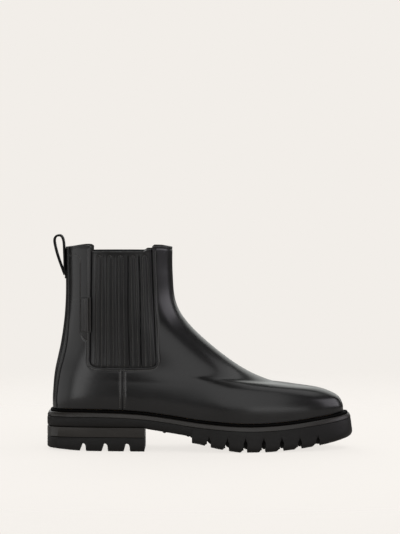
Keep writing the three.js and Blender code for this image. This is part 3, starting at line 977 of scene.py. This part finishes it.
def gusset_grid(columns=258, rows=84, top_rows=16):
    """x, z, the distance across and the height over the lower edge. It is tucked under the leather."""
    across = np.linspace(-TUCK, GUSSET_WIDTH + TUCK, columns)
    from_side = np.clip(np.minimum(across, GUSSET_WIDTH - across), 0, CORNER)
    rise = CORNER * (1 - np.sqrt(from_side / CORNER)) ** 2
    low = GUSSET_BOTTOM - TUCK + rise
    share = across / GUSSET_WIDTH
    top = gusset_top(gusset_x(share, GUSSET_TOP))
    v = np.concatenate([np.linspace(0, 0.93, rows), np.linspace(0.93, 1, top_rows)[1:]])[:, None]
    z = low + (top - low) * v
    return gusset_x(share, z), z, across, z - low - TUCK


def channel_line(centre):
    """One channel's stitches in distance across the cover and height: up, over an arch and down."""
    low = GUSSET_BOTTOM + 1.6
    arch = CHANNEL_TOP - CHANNEL_HALF
    angles = np.linspace(math.pi, 0, 12)
    middle = centre * GUSSET_WIDTH
    over = np.stack([middle + CHANNEL_HALF * np.cos(angles), arch + CHANNEL_HALF * np.sin(angles)], axis=1)
    return np.concatenate([[[middle - CHANNEL_HALF, low]], over, [[middle + CHANNEL_HALF, low]]])


def pleats(across, z):
    """How far the pleated cover stands out at a place across the gusset."""
    lines = np.concatenate([spaced(channel_line(c), 0.25) for c in CHANNELS])
    flat = np.stack([across, z, 0 * z], axis=-1)
    seam = distance_to(flat, np.pad(lines, ((0, 0), (0, 1))))
    pile = 0.62  # how high the cover swells beside a row of stitches, and over what distance
    height = pile * (1 - np.exp(-(seam / pile) ** 2))
    below_arch = ramp(CHANNEL_TOP + 0.5, CHANNEL_TOP - 2.5, z)
    for centre in CHANNELS:
        inside = np.clip(1 - ((across - centre * GUSSET_WIDTH) / CHANNEL_HALF) ** 2, 0, 1)
        height = height + 0.42 * inside * below_arch
    for place, deep in FOLDS:
        sway = 0.5 * np.sin(z / 23.0 + place * 9)
        height = height - deep * np.exp(-((across - place * GUSSET_WIDTH - sway) / 0.7) ** 2) * below_arch
    return height


def make_gussets():
    x, z, across, above = gusset_grid()
    s, turn = locate(x, z)
    across = np.broadcast_to(across, x.shape)
    out = pleats(across, z)
    border = np.maximum(np.minimum(np.minimum(across, GUSSET_WIDTH - across), above), 0)
    under_leather = 0.9 * np.exp(-(border / 1.3) ** 2)
    bound_top = 0.25 * np.exp(-(gusset_top(x) - 1.0 - z) ** 2)
    depth = np.minimum(COVER_DEPTH - out + (under_leather - bound_top), COVER_UNDER)
    ribs = ELASTIC_INNER + 0.16 * np.cos(across * TAU / ELASTIC_RIB)
    for name, medial in SIDES:
        grid = flipped(s, turn) if medial else (s, turn)
        outer = depth[:, ::-1] if medial else depth
        inner = ribs[:, ::-1] if medial else ribs
        back = upper_point(*grid, COVER_INNER)
        wear_and_shade = np.clip(0.8 - outer, 0, 1) * 0.5
        cover = sheet_object(f"gusset_pleats_{name}", upper_point(*grid, outer), back, GUSSET_LEATHER, wear_and_shade)
        blended(cover, "gusset_leather", f"gusset_cover_{name}")
        front = upper_point(*grid, ELASTIC_OUTER)
        elastic = sheet_object(f"elastic_{name}", front, upper_point(*grid, inner), ELASTIC)
        blended(elastic, "gusset_elastic", f"gusset_elastic_{name}")


def on_gusset(line, medial, depth):
    """A line across the cover as places on the upper."""
    across, z = spaced(line, 1.0).T
    return side_path(np.stack([gusset_x(across / GUSSET_WIDTH, z), z], axis=1), medial, depth)


def make_gusset_stitching():
    for name, medial in SIDES:
        rows = [on_gusset(channel_line(centre), medial, 0.98) for centre in CHANNELS]
        stitch_rows(f"gusset_channel_stitches_{name}", rows, pitch=2.2, radius=0.3)
        rear, front = (gusset_half(forward, SEAM_GAP + STITCH_IN, COLLAR_Z - 4) for forward in (False, True))
        border = side_path(np.concatenate([rear[::-1], front[1:]]), medial, 0.24)
        stitch_rows(f"gusset_border_stitches_{name}", [border], slot="calf_leather")


def panel_line():
    """The stitched outline of the reinforcement inside the rear of the shaft."""
    x = TAB_LOW[0] - 0.9
    top = 193.8
    corner = -124.5
    low = 119
    return np.concatenate([
        [[corner - 5, top], [corner, top]],
        curve((corner, top), (x, top), (x, top - 7.8)),
        [[x, top - 9.8], [x, low]],
        curve((x, low), (x + 0.4, low - 8.5), (GUSSET_REAR - 2.0, low - 10.4)),
    ])


def make_seam_stitching():
    """The rows beside the side seams, round the shaft's reinforcement and along the backstay."""
    heights = np.linspace(feather_of(SEAM_X) + 1.5, GUSSET_BOTTOM - STITCH_IN - 1.2, 30)
    beside_seam = [[[SEAM_X + shift, z] for z in heights] for shift in (-STITCH_IN, STITCH_IN)]
    for name, medial in SIDES:
        rows = [side_path(line, medial, 0.24) for line in beside_seam]
        rows.append(side_path(spaced(panel_line(), 2.0), medial, 0.3))
        stitch_rows(f"quarter_stitches_{name}", rows, slot="calf_leather")
        s, turn = backstay_paths(BACKSTAY_STITCH_IN)
        row = np.stack([s, -turn if medial else turn, np.full(len(s), -0.95)], axis=1)
        stitch_rows(f"backstay_stitches_{name}", [row], slot="calf_leather")


# ---------------- tab and pull loop


TAB_FOLDS = ((0.70, 0.05), (0.93, 0.04))  # places across the tab, and half widths
TAB_CREASE = (0.82, 0.04)
TAB_STITCHES = (0.38, 0.05)


def bumps(u, *places):
    """Rounded bumps of height 1 at (place, half width) along u."""
    return sum(np.exp(-((u - place) / width) ** 2) for place, width in places)


def make_side_tab():
    """A plain folded tab at the gusset's rear edge, with a stitched end and two raised folds."""
    u = np.linspace(0, 1, 60)
    x, z = np.meshgrid(TAB_LOW[0] + u * (TAB_HIGH[0] - TAB_LOW[0]), np.linspace(TAB_LOW[2], TAB_HIGH[2], 60))
    s, turn = locate(x, z)
    surface = upper_surface(s, turn)
    distance = distance_to(surface, np.concatenate([
        spaced(edge, 0.25) for edge in (surface[0], surface[-1], surface[:, 0], surface[:, -1])
    ]))
    fold = bumps(u, *TAB_FOLDS) + 0 * x
    crease = bumps(u, TAB_CREASE) + 0.4 * bumps(u, TAB_STITCHES)
    proud = 0.75 + 0.9 * fold - rolled_edge(distance, 0.6) - 0.5 * crease
    under = upper_point(s, turn, 0.02)
    obj = sheet_object("side_tab_leather", upper_point(s, turn, -proud), under, TAB, np.clip(fold, 0, 1))
    blended(obj, "calf_leather", "side_tab")
    stitched = TAB_LOW[0] + TAB_STITCHES[0] * (TAB_HIGH[0] - TAB_LOW[0])
    line = [[stitched, h] for h in np.linspace(TAB_LOW[2] + 1.5, TAB_HIGH[2] - 1.5, 16)]
    stitch_rows("side_tab_stitches", [side_path(line, False, -0.6)], slot="calf_leather", pitch=2.0)


STRAP_HALF = (LOOP_HIGH[1] - LOOP_LOW[1]) / 2
STRAP_HALF_THICK = 1.1
STRAP_PROUD = 2.3  # how far the strap's sewn end stands off the upper
STRAP_STITCH_IN = 2.0
STRAP_STITCHES = 14


def loop_path():
    """The strap's middle line in x and z: up against the backstay, over, and back down outside it."""
    back = LOOP_HIGH[0] - 0.2
    top = LOOP_HIGH[2] - 0.8
    rear = LOOP_LOW[0] + 0.8
    root = LOOP_LOW[2]
    middle = (back + rear) / 2
    inner = [[back + 0.1, root - 3], [back, root + 2], [back - 0.3, root + 14], [back - 0.7, COLLAR_Z]]
    over = curve(inner[-1], (back - 1.0, top), (middle, top))
    down = curve((middle, top), (rear - 0.3, top), (rear + 0.3, top - 6.5))
    outer = curve(down[-1], (rear + 2.0, root + 19), (back - 2.1, root + 3))
    end = [[back - 1.3, root], [back - 0.9, root - 3]]
    return np.concatenate([inner, over[1:], down[1:], outer[1:], end])


def strap_section(sides=40):
    """(across, through) places round the strap: a flat band with rounded edges."""
    def power(value, exponent):
        return np.sign(value) * abs(value) ** exponent

    angles = [TAU * k / sides for k in range(sides)]
    return [
        (power(math.cos(a), 0.22) * STRAP_HALF, power(math.sin(a), 0.45) * STRAP_HALF_THICK) for a in angles
    ]


def make_pull_loop():
    """A doubled leather strap, thinned towards its sewn ends."""
    path = spaced(loop_path(), 0.9)
    tangent = np.gradient(path, axis=0)
    tangent /= np.linalg.norm(tangent, axis=1, keepdims=True)
    lengths = arc_lengths(path)
    skived = ramp(-1.5, 5, np.minimum(lengths, lengths[-1] - lengths))
    section = strap_section()
    points = [
        [x - dz * through * thin, across, z + dx * through * thin]
        for (x, z), (dx, dz), thin in zip(path, tangent, skived) for across, through in section
    ]
    obj = new_object("pull_loop_strap", points, tube_faces(len(path), len(section)), STRAP)
    face_outward(obj)
    standing_for(obj, "calf_leather", "pull_loop")
    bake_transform(obj)


def make_loop_root():
    """The strap's sewn-down end, which follows the backstay's curve, and its row of stitches."""
    z = np.linspace(LOOP_ROOT_Z, LOOP_LOW[2] + 2, 16)
    s = back_section(z)
    turn = half_turn(s, np.full(len(z), STRAP_HALF))
    grid_s, grid_turn = across_back(s, turn, 16)
    surface = upper_surface(grid_s, grid_turn)
    distance = distance_to(surface, edges_of(surface))
    low_edge = distance_to(surface, spaced(surface[0], 0.25))
    proud = STRAP_PROUD - rolled_edge(distance, 0.7) - dent(low_edge, STRAP_STITCH_IN, 0.7, 0.3)
    under = upper_point(grid_s, grid_turn, -1.1)
    obj = sheet_object("pull_loop_base", upper_point(grid_s, grid_turn, -proud), under, STRAP)
    riding(obj, "shaft_back", "calf_leather", "pull_loop_root")
    row_s = np.full(STRAP_STITCHES, np.interp(LOOP_ROOT_Z + STRAP_STITCH_IN, z, s))
    across = np.linspace(-0.88, 0.88, STRAP_STITCHES) * turn[0]
    row = np.stack([row_s, across, np.full(STRAP_STITCHES, 0.12 - STRAP_PROUD)], axis=1)
    stitch_rows("pull_loop_stitches", [row], slot="calf_leather", pitch=2.0)


# ---------------- linings

LINING_STEP = 3.0  # from the leather's side seam to the linings'


def lining_sheet(name, s, turn):
    """A lining with rolled edges, just inside the leather or its stiffener."""
    surface = upper_surface(s, turn)
    distance = distance_to(surface, edges_of(surface))
    outer = lining_depth(surface[..., 0], surface[..., 2])
    inner = outer + LINING - rolled_edge(distance, 0.6)
    return sheet_object(name, upper_point(s, turn, outer), upper_point(s, turn, inner), LINING_LEATHER)


def make_linings():
    """The linings meet a little in front of the leather's seam, so that no gap goes right through."""
    lining_seam = SEAM_X + LINING_STEP
    s, turn = front_grid(90, lining_seam)
    blended(lining_sheet("vamp_lining_leather", s, turn), "lining_leather", "vamp_lining")
    s, turn = rear_grid(90, both=True, seam_x=lining_seam)
    blended(lining_sheet("rear_lining_leather", s, turn), "lining_leather", "heel_lining", "shaft_lining")


# ---------------- the sole


SOLE_SHARP = 38  # degrees, above which two of the sole's faces meet in a hard edge


def steps_over(base, *steps):
    """Levels of the sole from (grow, rise) steps over a base height, which may be a function of x."""
    def at(rise):
        return lambda x: (base(x) if callable(base) else base) + rise + 0 * x

    return [(grow, at(rise)) for grow, rise in steps]


def sole_solid(name, levels, mat, stations=150, hollow=False):
    """A solid of the sole's plan, or a ring of it, from (grow, height function) levels, bottom first."""
    angle = np.linspace(0, math.pi, stations + 1)
    angles = np.concatenate([angle, angle[-2:0:-1]])
    side = np.concatenate([np.full(stations + 1, -1.0), np.full(stations - 1, 1.0)])
    loop = 2 * stations
    points = []
    for grow, z in levels:
        x, y = sole_edge(angles, side, grow)
        points.append(np.stack([x, y, z(x)], axis=1))
    faces = []
    for level in range(len(levels) - 1):
        for i in range(loop):
            a, b = level * loop + i, level * loop + (i + 1) % loop
            faces.append([a, b, b + loop, a + loop])
    top = (len(levels) - 1) * loop
    if hollow:
        faces += [[i + top, (i + 1) % loop + top, (i + 1) % loop, i] for i in range(loop)]
    else:
        for i in range(stations):
            quad = [i, (loop - i) % loop, (loop - i - 1) % loop, i + 1]
            quad = [v for k, v in enumerate(quad) if quad.index(v) == k]
            faces.append(quad)
            faces.append([top + v for v in quad[::-1]])
    return new_object(name, np.concatenate(points), faces, mat, smooth_angle=SOLE_SHARP)


def make_welt():
    profile = steps_over(
        lambda x: sole_top_z(x) + GAP,
        (-13.5, 0), (-3.2, 0), (-2.5, 0.3), (-2.3, 0.9), (-2.4, 1.5),
        (-2.9, 2.0), (-3.8, 2.2), (-5.2, 2.1), (-13.5, 2.0),
    )
    riding(sole_solid("welt_strip", profile, WELT_SHADE_MAT, hollow=True), "boot_body", "welt", "welt")


def make_midsole():
    profile = steps_over(
        sole_top_z,
        (-6, -BEVEL), (0.3, -BEVEL), (0.62, 0.25 - BEVEL), (0.55, 0.9 - BEVEL), (-0.3, -1.1),
        (-0.7, -0.4), (-1.3, -0.05), (-2.2, 0), (-8, 0),
    )
    riding(sole_solid("midsole_band", profile, BAND), "boot_body", "sole_band", "midsole")


def apply_modifiers(obj):
    """Replaces an object's mesh with its modifiers' result."""
    depsgraph = bpy.context.evaluated_depsgraph_get()
    mesh = bpy.data.meshes.new_from_object(obj.evaluated_get(depsgraph), depsgraph=depsgraph)
    obj.modifiers.clear()
    obj.data = mesh


FAR_SIDE = 90
FAR_BACK, FAR_FRONT = -200, 220
FAR_BELOW, FAR_ABOVE = -20, 60


def slab(x_low, x_high):
    """A cutter that takes away everything between two places along the boot."""
    corners = [[x_low, FAR_BELOW], [x_high, FAR_BELOW], [x_high, FAR_ABOVE], [x_low, FAR_ABOVE]]
    return extruded(corners, -FAR_SIDE, FAR_SIDE)


def right_across(points):
    """A cutter across the whole sole."""
    return extruded(points, 1 - FAR_SIDE, FAR_SIDE - 1)


def extruded(points, y_low, y_high):
    """A straight-sided cutter from an outline in x and z."""
    n = len(points)
    corners = [[x, y_low, z] for x, z in points] + [[x, y_high, z] for x, z in points]
    faces = [list(range(n)), list(range(2 * n - 1, n - 1, -1))]
    faces += [[(i + 1) % n, i, i + n, (i + 1) % n + n] for i in range(n)]
    return corners, faces


def cut(obj, cutters, bevel=0.45):
    """Cuts away a list of (points, faces) solids, then softens the moulded edges."""
    points = []
    faces = []
    for corners, own in cutters:
        faces += [[v + len(points) for v in face] for face in own]
        points += corners
    cutter = new_object(obj.name + "_cutter", points, faces, obj.data.materials[0])
    face_outward(cutter)
    boolean = obj.modifiers.new("cut", "BOOLEAN")
    boolean.operation = "DIFFERENCE"
    boolean.solver = "EXACT"
    boolean.use_self = True
    boolean.object = cutter
    apply_modifiers(obj)
    bpy.data.objects.remove(cutter)
    if bevel:
        softened = obj.modifiers.new("soften", "BEVEL")
        softened.width = bevel * MM
        softened.segments = 2
        softened.limit_method = "ANGLE"
        softened.angle_limit = math.radians(42)
        apply_modifiers(obj)
    obj.data.shade_smooth()
    obj.data.set_sharp_from_angle(angle=math.radians(SOLE_SHARP))


TREAD_START = -8  # where the lugged forefoot begins
FIRST_GROOVE, LUG_STEP, GROOVES = 8.9, 18.0, 7
LUG_GROOVES = [FIRST_GROOVE + LUG_STEP * i for i in range(GROOVES)]
CENTRE_HALF = 14  # half the width of the tread's middle lugs
CHANNEL_WIDTH = 4
CHANNEL_DEPTH = 4.2
HEEL_GROOVES = (-116, -94.2, -72.3)
WAIST_RIBS = (-35.0, -11.5)


def lug_groove(x):
    """A pointed flame-shaped groove up the side of the forefoot."""
    base = float(tread_z(x))
    tip = max(base + 10.5, 14)
    shoulder = tip - 4.2
    left = curve((x - 1.9, shoulder), (x - 0.7, shoulder + 1.2), (x - 0.25, tip), 5)
    right = curve((x + 0.25, tip), (x + 0.7, shoulder + 1.2), (x + 1.9, shoulder), 5)
    return [[x - 2.2, base - 3]] + left.tolist() + right.tolist() + [[x + 1.6, base - 3]]


def tread_notch(x):
    """A shallow V across the tread, flared where the lugs' corners are rounded."""
    z = float(tread_z(x - 2.6))
    half = [(-6.9, -1.0), (-5.2, 0.3), (-4.1, 1.3), (-3.1, 2.5), (-2.6, 2.7)]
    other = [(-2.1, 2.5), (-1.2, 1.3), (-0.2, 0.3), (1.5, -1.0)]
    return [[x + dx, z + dz] for dx, dz in half + other]


def tread_channel():
    """A channel along the tread that parts the side lugs from the middle ones."""
    stops = np.linspace(0, 124, 24)
    roof = [[x, float(tread_z(x)) + CHANNEL_DEPTH] for x in stops]
    return [[stops[0], -5]] + roof + [[stops[-1], -5]]


def waist_rib(name, x):
    """A low rounded rib across the underside of the waist."""
    ends = np.linspace(-39.5, 33, 12)
    angles = np.linspace(0, math.pi, 9)
    z = float(shank_bottom_z(x))
    ring = [[x - 2.2 * math.cos(a), z + 0.8 - 2.1 * math.sin(a)] for a in angles]
    points = [[px, y, pz] for y in ends for px, pz in ring]
    rib = new_object(name, points, tube_faces(len(ends), len(ring)), RUBBER)
    face_outward(rib)
    return rib


def outsole_bottom(x):
    """The outsole's underside: over the heel's lift, then the waist, then the tread."""
    forefoot = np.where(x < TREAD_START, shank_bottom_z(x), tread_z(x))
    return np.where(x < HEEL_BREAST, LIFT_HIGH[2] + GAP, forefoot)


def outsole_top(x):
    return sole_top_z(x) - BEVEL - GAP


OUTSOLE_RIM = steps_over(outsole_top, (HEEL_GROW, -1.2), (HEEL_GROW - 0.5, 0), (-9, 0))


def make_forefoot():
    """The lugged part of the outsole."""
    profile = steps_over(
        tread_z,
        (-9, 0), (-3, 0.05), (-0.6, 0.35), (1.0, 1.1), (2.0, 2.6),
        (SIDE_FLARE, 4.4), (SIDE_FLARE - 0.3, 7.5),
    )
    tread = sole_solid("forefoot_tread", profile + OUTSOLE_RIM, RUBBER)
    cutters = [slab(FAR_BACK, TREAD_START)]
    channel_middle = CENTRE_HALF + CHANNEL_WIDTH / 2
    for x in LUG_GROOVES:
        cutters.append(extruded(lug_groove(x), -FAR_SIDE, -channel_middle))
        cutters.append(extruded(lug_groove(x), channel_middle, FAR_SIDE))
        cutters.append(right_across(tread_notch(x)))
    for side in (-1, 1):
        low, high = sorted((side * CENTRE_HALF, side * (CENTRE_HALF + CHANNEL_WIDTH)))
        cutters.append(extruded(tread_channel(), low, high))
    cut(tread, cutters)
    riding(tread, "boot_body", "sole_rubber", "outsole")


def make_waist():
    """The outsole's smooth rear part, with two ribs under the waist."""
    profile = steps_over(outsole_bottom, (-9, 0), (-0.4, 0), (0.3, 0.8), (HEEL_GROW, 2.0))
    waist = sole_solid("sole_waist", profile + OUTSOLE_RIM, RUBBER, stations=220)
    cut(waist, [slab(TREAD_START - 0.02, FAR_FRONT)], bevel=0)
    riding(waist, "boot_body", "sole_rubber")
    for number, x in enumerate(WAIST_RIBS, 1):
        riding(waist_rib(f"waist_rib_{number}", x), "boot_body", "sole_rubber")


def heel_groove(x):
    """A round arch across the bottom of the heel, flared at the ground."""
    arch = curve((x - 2.8, 2.5), (x - 2.8, 7.6), (x, 7.7), 9)
    rising = np.concatenate([[[x - 4.4, -1], [x - 3.0, 0.8]], arch])
    falling = np.stack([2 * x - rising[::-1, 0], rising[::-1, 1]], axis=1)
    return np.concatenate([rising, falling[1:]]).tolist()


def make_heel_lift():
    bottom = steps_over(LIFT_LOW[2], (-6, 0), (HEEL_GROW - 0.3, 0), (HEEL_GROW, 0.4))
    top = steps_over(LIFT_HIGH[2], (HEEL_GROW, -0.3), (HEEL_GROW - 0.25, 0), (-6, 0))
    lift = sole_solid("heel_lift_layer", bottom + top, BAND)
    cut(lift, [slab(HEEL_BREAST, FAR_FRONT)], bevel=0.4)
    riding(lift, "boot_body", "sole_band", "heel_lift")


def heel_bottom(x):
    """The ground under the heel, lifting a little at its rear edge."""
    return 2.6 * ramp(-108, -160, x)


def make_heel_top_piece():
    bottom = steps_over(heel_bottom, (-6, 0), (-0.6, 0), (0.2, 0.5), (HEEL_GROW, 1.6))
    top = steps_over(HEEL_HIGH[2], (HEEL_GROW, -0.4), (HEEL_GROW - 0.3, 0), (-6, 0))
    piece = sole_solid("heel_top_lift", bottom + top, RUBBER)
    cut(piece, [slab(HEEL_BREAST, FAR_FRONT)] + [right_across(heel_groove(x)) for x in HEEL_GROOVES])
    riding(piece, "boot_body", "sole_rubber", "heel_top_piece")


# ---------------- CAD nodes that stay


def dress_cad_nodes():
    """Finishes for the inner pieces that keep their CAD shape."""
    looks = {
        "sock_liner": LINING_LEATHER, "insole_board": BOARD, "cork_filler": CORK, "shank": STEEL,
        "toe_puff": STIFFENER, "heel_counter": STIFFENER,
    }
    looks.update({f"heel_nail_{i}": STEEL for i in range(1, 6)})
    for name, mat in looks.items():
        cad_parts[name].data.materials.clear()
        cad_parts[name].data.materials.append(mat)


# ---------------- studio

PAPER = (0.888, 0.855, 0.815)
ROOM = 0.05  # how bright the room is round the boot, against the pale backdrop
FLOOR_GLOW = 0.62  # the floor's own light, which keeps the shadow faint
CAMERA_DISTANCE = 3.0
CAMERA_TIP = 2.0  # degrees below level
VIEW_CENTRE = 0.1814  # the height at the middle of the picture
VIEW_HEIGHT = 0.534  # what the picture takes in at the boot
FLOOR_SHARE = 0.35  # how much of the floor covers the backdrop behind it
FLOOR_HALF = 1.4
TARGET_Z = 0.1  # the height that the lights point at
# Name, azimuth, elevation, distance, width and height, brightness, and a colour if not white.
SOFTBOXES = [
    ("front_box", 10, 34, 2.6, (2.6, 3.3), 0.92),
    ("low_box", 32, -1, 1.9, (1.0, 0.3), 1.4),
    ("heel_box", -35, 6, 1.9, (0.5, 0.9), 2.1),
    ("left_box", -78, 4, 1.9, (2.0, 1.1), 0.85),
    ("right_box", 88, 18, 1.7, (1.5, 0.85), 1.6, (0.97, 0.93, 1.0)),
    ("top_box", 104, 64, 1.9, (1.3, 0.9), 0.95),
    ("back_box", 176, 24, 1.9, (2.6, 1.3), 0.8, (0.98, 1.0, 0.97)),
    ("medial_box", 212, 34, 2.4, (2.4, 2.2), 0.9),
]


def staged_quad(name, corners, mat):
    """A four-sided prop of the studio, in metres."""
    mesh = bpy.data.meshes.new(name)
    mesh.from_pydata(corners, [], [(0, 1, 2, 3)])
    mesh.materials.append(mat)
    obj = placed(name, mesh)
    return obj


def make_floor():
    """A pale floor that fades into the backdrop, so no horizon shows."""
    mat, shader = material("paper")
    n = Nodes(mat)
    set_inputs(shader, {
        "Base Color": (*PAPER, 1), "Roughness": 0.9, "Specular IOR Level": 0.1,
        "Emission Color": (*PAPER, 1), "Emission Strength": FLOOR_GLOW,
    })
    distance = n.add("ShaderNodeVectorMath", operation="LENGTH")
    n.link(n.place, distance.inputs[0])
    fade = n.add("ShaderNodeMapRange", interpolation_type="SMOOTHSTEP")
    set_inputs(fade, {"From Min": 0.3, "From Max": 1.2, "To Min": FLOOR_SHARE, "To Max": 0})
    n.link(distance.outputs["Value"], fade.inputs["Value"])
    n.link(fade.outputs[0], shader.inputs["Alpha"])
    signs = ((-1, -1), (1, -1), (1, 1), (-1, 1))
    staged_quad("floor", [(x * FLOOR_HALF, y * FLOOR_HALF, 0) for x, y in signs], mat)


def make_world():
    """A pale backdrop for the camera, and a dimmer room for the boot to reflect."""
    world = bpy.data.worlds.new("studio")
    world.use_nodes = True
    tree = world.node_tree
    backdrop = tree.nodes["Background"]
    set_inputs(backdrop, {"Color": (*PAPER, 1)})
    room = tree.nodes.new("ShaderNodeBackground")
    set_inputs(room, {"Color": (*PAPER, 1), "Strength": ROOM})
    seen = tree.nodes.new("ShaderNodeLightPath")
    mix = tree.nodes.new("ShaderNodeMixShader")
    tree.links.new(seen.outputs["Is Camera Ray"], mix.inputs[0])
    tree.links.new(room.outputs[0], mix.inputs[1])
    tree.links.new(backdrop.outputs[0], mix.inputs[2])
    tree.links.new(mix.outputs[0], tree.nodes["World Output"].inputs["Surface"])
    bpy.context.scene.world = world


def softbox(name, azimuth, elevation, distance, size, brightness, colour=(1, 1, 1)):
    """A soft light aimed at the boot, in degrees and metres. Azimuth is measured from -Y toward +X."""
    az, el = math.radians(azimuth), math.radians(elevation)
    level = distance * math.cos(el)
    place = Vector((level * math.sin(az), -level * math.cos(az), TARGET_Z + distance * math.sin(el)))
    light = bpy.data.lights.new(name, "AREA")
    light.shape = "RECTANGLE"
    light.size, light.size_y = size
    light.energy = brightness * math.pi * size[0] * size[1]
    light.color = colour
    obj = placed(name, light)
    obj.location = place
    obj.rotation_euler = (Vector((0, 0, TARGET_Z)) - place).to_track_quat("-Z", "Y").to_euler()


def add_flag(name, azimuth, distance, width, height):
    """A black card on the floor, unseen by the camera, that darkens the boot's side behind the seam."""
    az = math.radians(azimuth)
    middle = Vector((distance * math.sin(az), -distance * math.cos(az), 0))
    along = Vector((math.cos(az), math.sin(az), 0)) * width / 2
    up = Vector((0, 0, height))
    corners = [middle - along, middle + along, middle + along + up, middle - along + up]
    mat, shader = material("black_card")
    set_inputs(shader, {"Base Color": (0.004, 0.004, 0.004, 1), "Roughness": 0.9})
    flag = staged_quad(name, [tuple(corner) for corner in corners], mat)
    flag.visible_camera = False
    flag.visible_shadow = False


def make_studio():
    """A big soft light in front, smaller ones round the boot, and a card that darkens part of its side."""
    add_flag("flag", azimuth=-19, distance=0.62, width=0.22, height=0.13)
    make_floor()
    make_world()
    for box in SOFTBOXES:
        softbox(*box)
    bpy.context.scene.view_settings.view_transform = "Standard"


def make_camera():
    """Square on to the lateral side, a little above the boot's middle and tipped down towards it."""
    camera = bpy.data.cameras.new("camera")
    camera.sensor_fit = "VERTICAL"
    camera.sensor_height = 36
    camera.lens = camera.sensor_height * CAMERA_DISTANCE / VIEW_HEIGHT
    camera.clip_end = 100
    tip = math.radians(CAMERA_TIP)
    obj = placed("camera", camera)
    obj.location = (0, -CAMERA_DISTANCE * math.cos(tip), VIEW_CENTRE + CAMERA_DISTANCE * math.sin(tip))
    obj.rotation_euler = (math.radians(90) - tip, 0, 0)
    bpy.context.scene.camera = obj


make_camera()
make_vamp()
make_quarters()
make_backstay()
make_gussets()
make_gusset_stitching()
make_seam_stitching()
make_side_tab()
make_pull_loop()
make_loop_root()
make_linings()
make_welt()
make_midsole()
make_forefoot()
make_waist()
make_heel_lift()
make_heel_top_piece()
dress_cad_nodes()
make_studio()
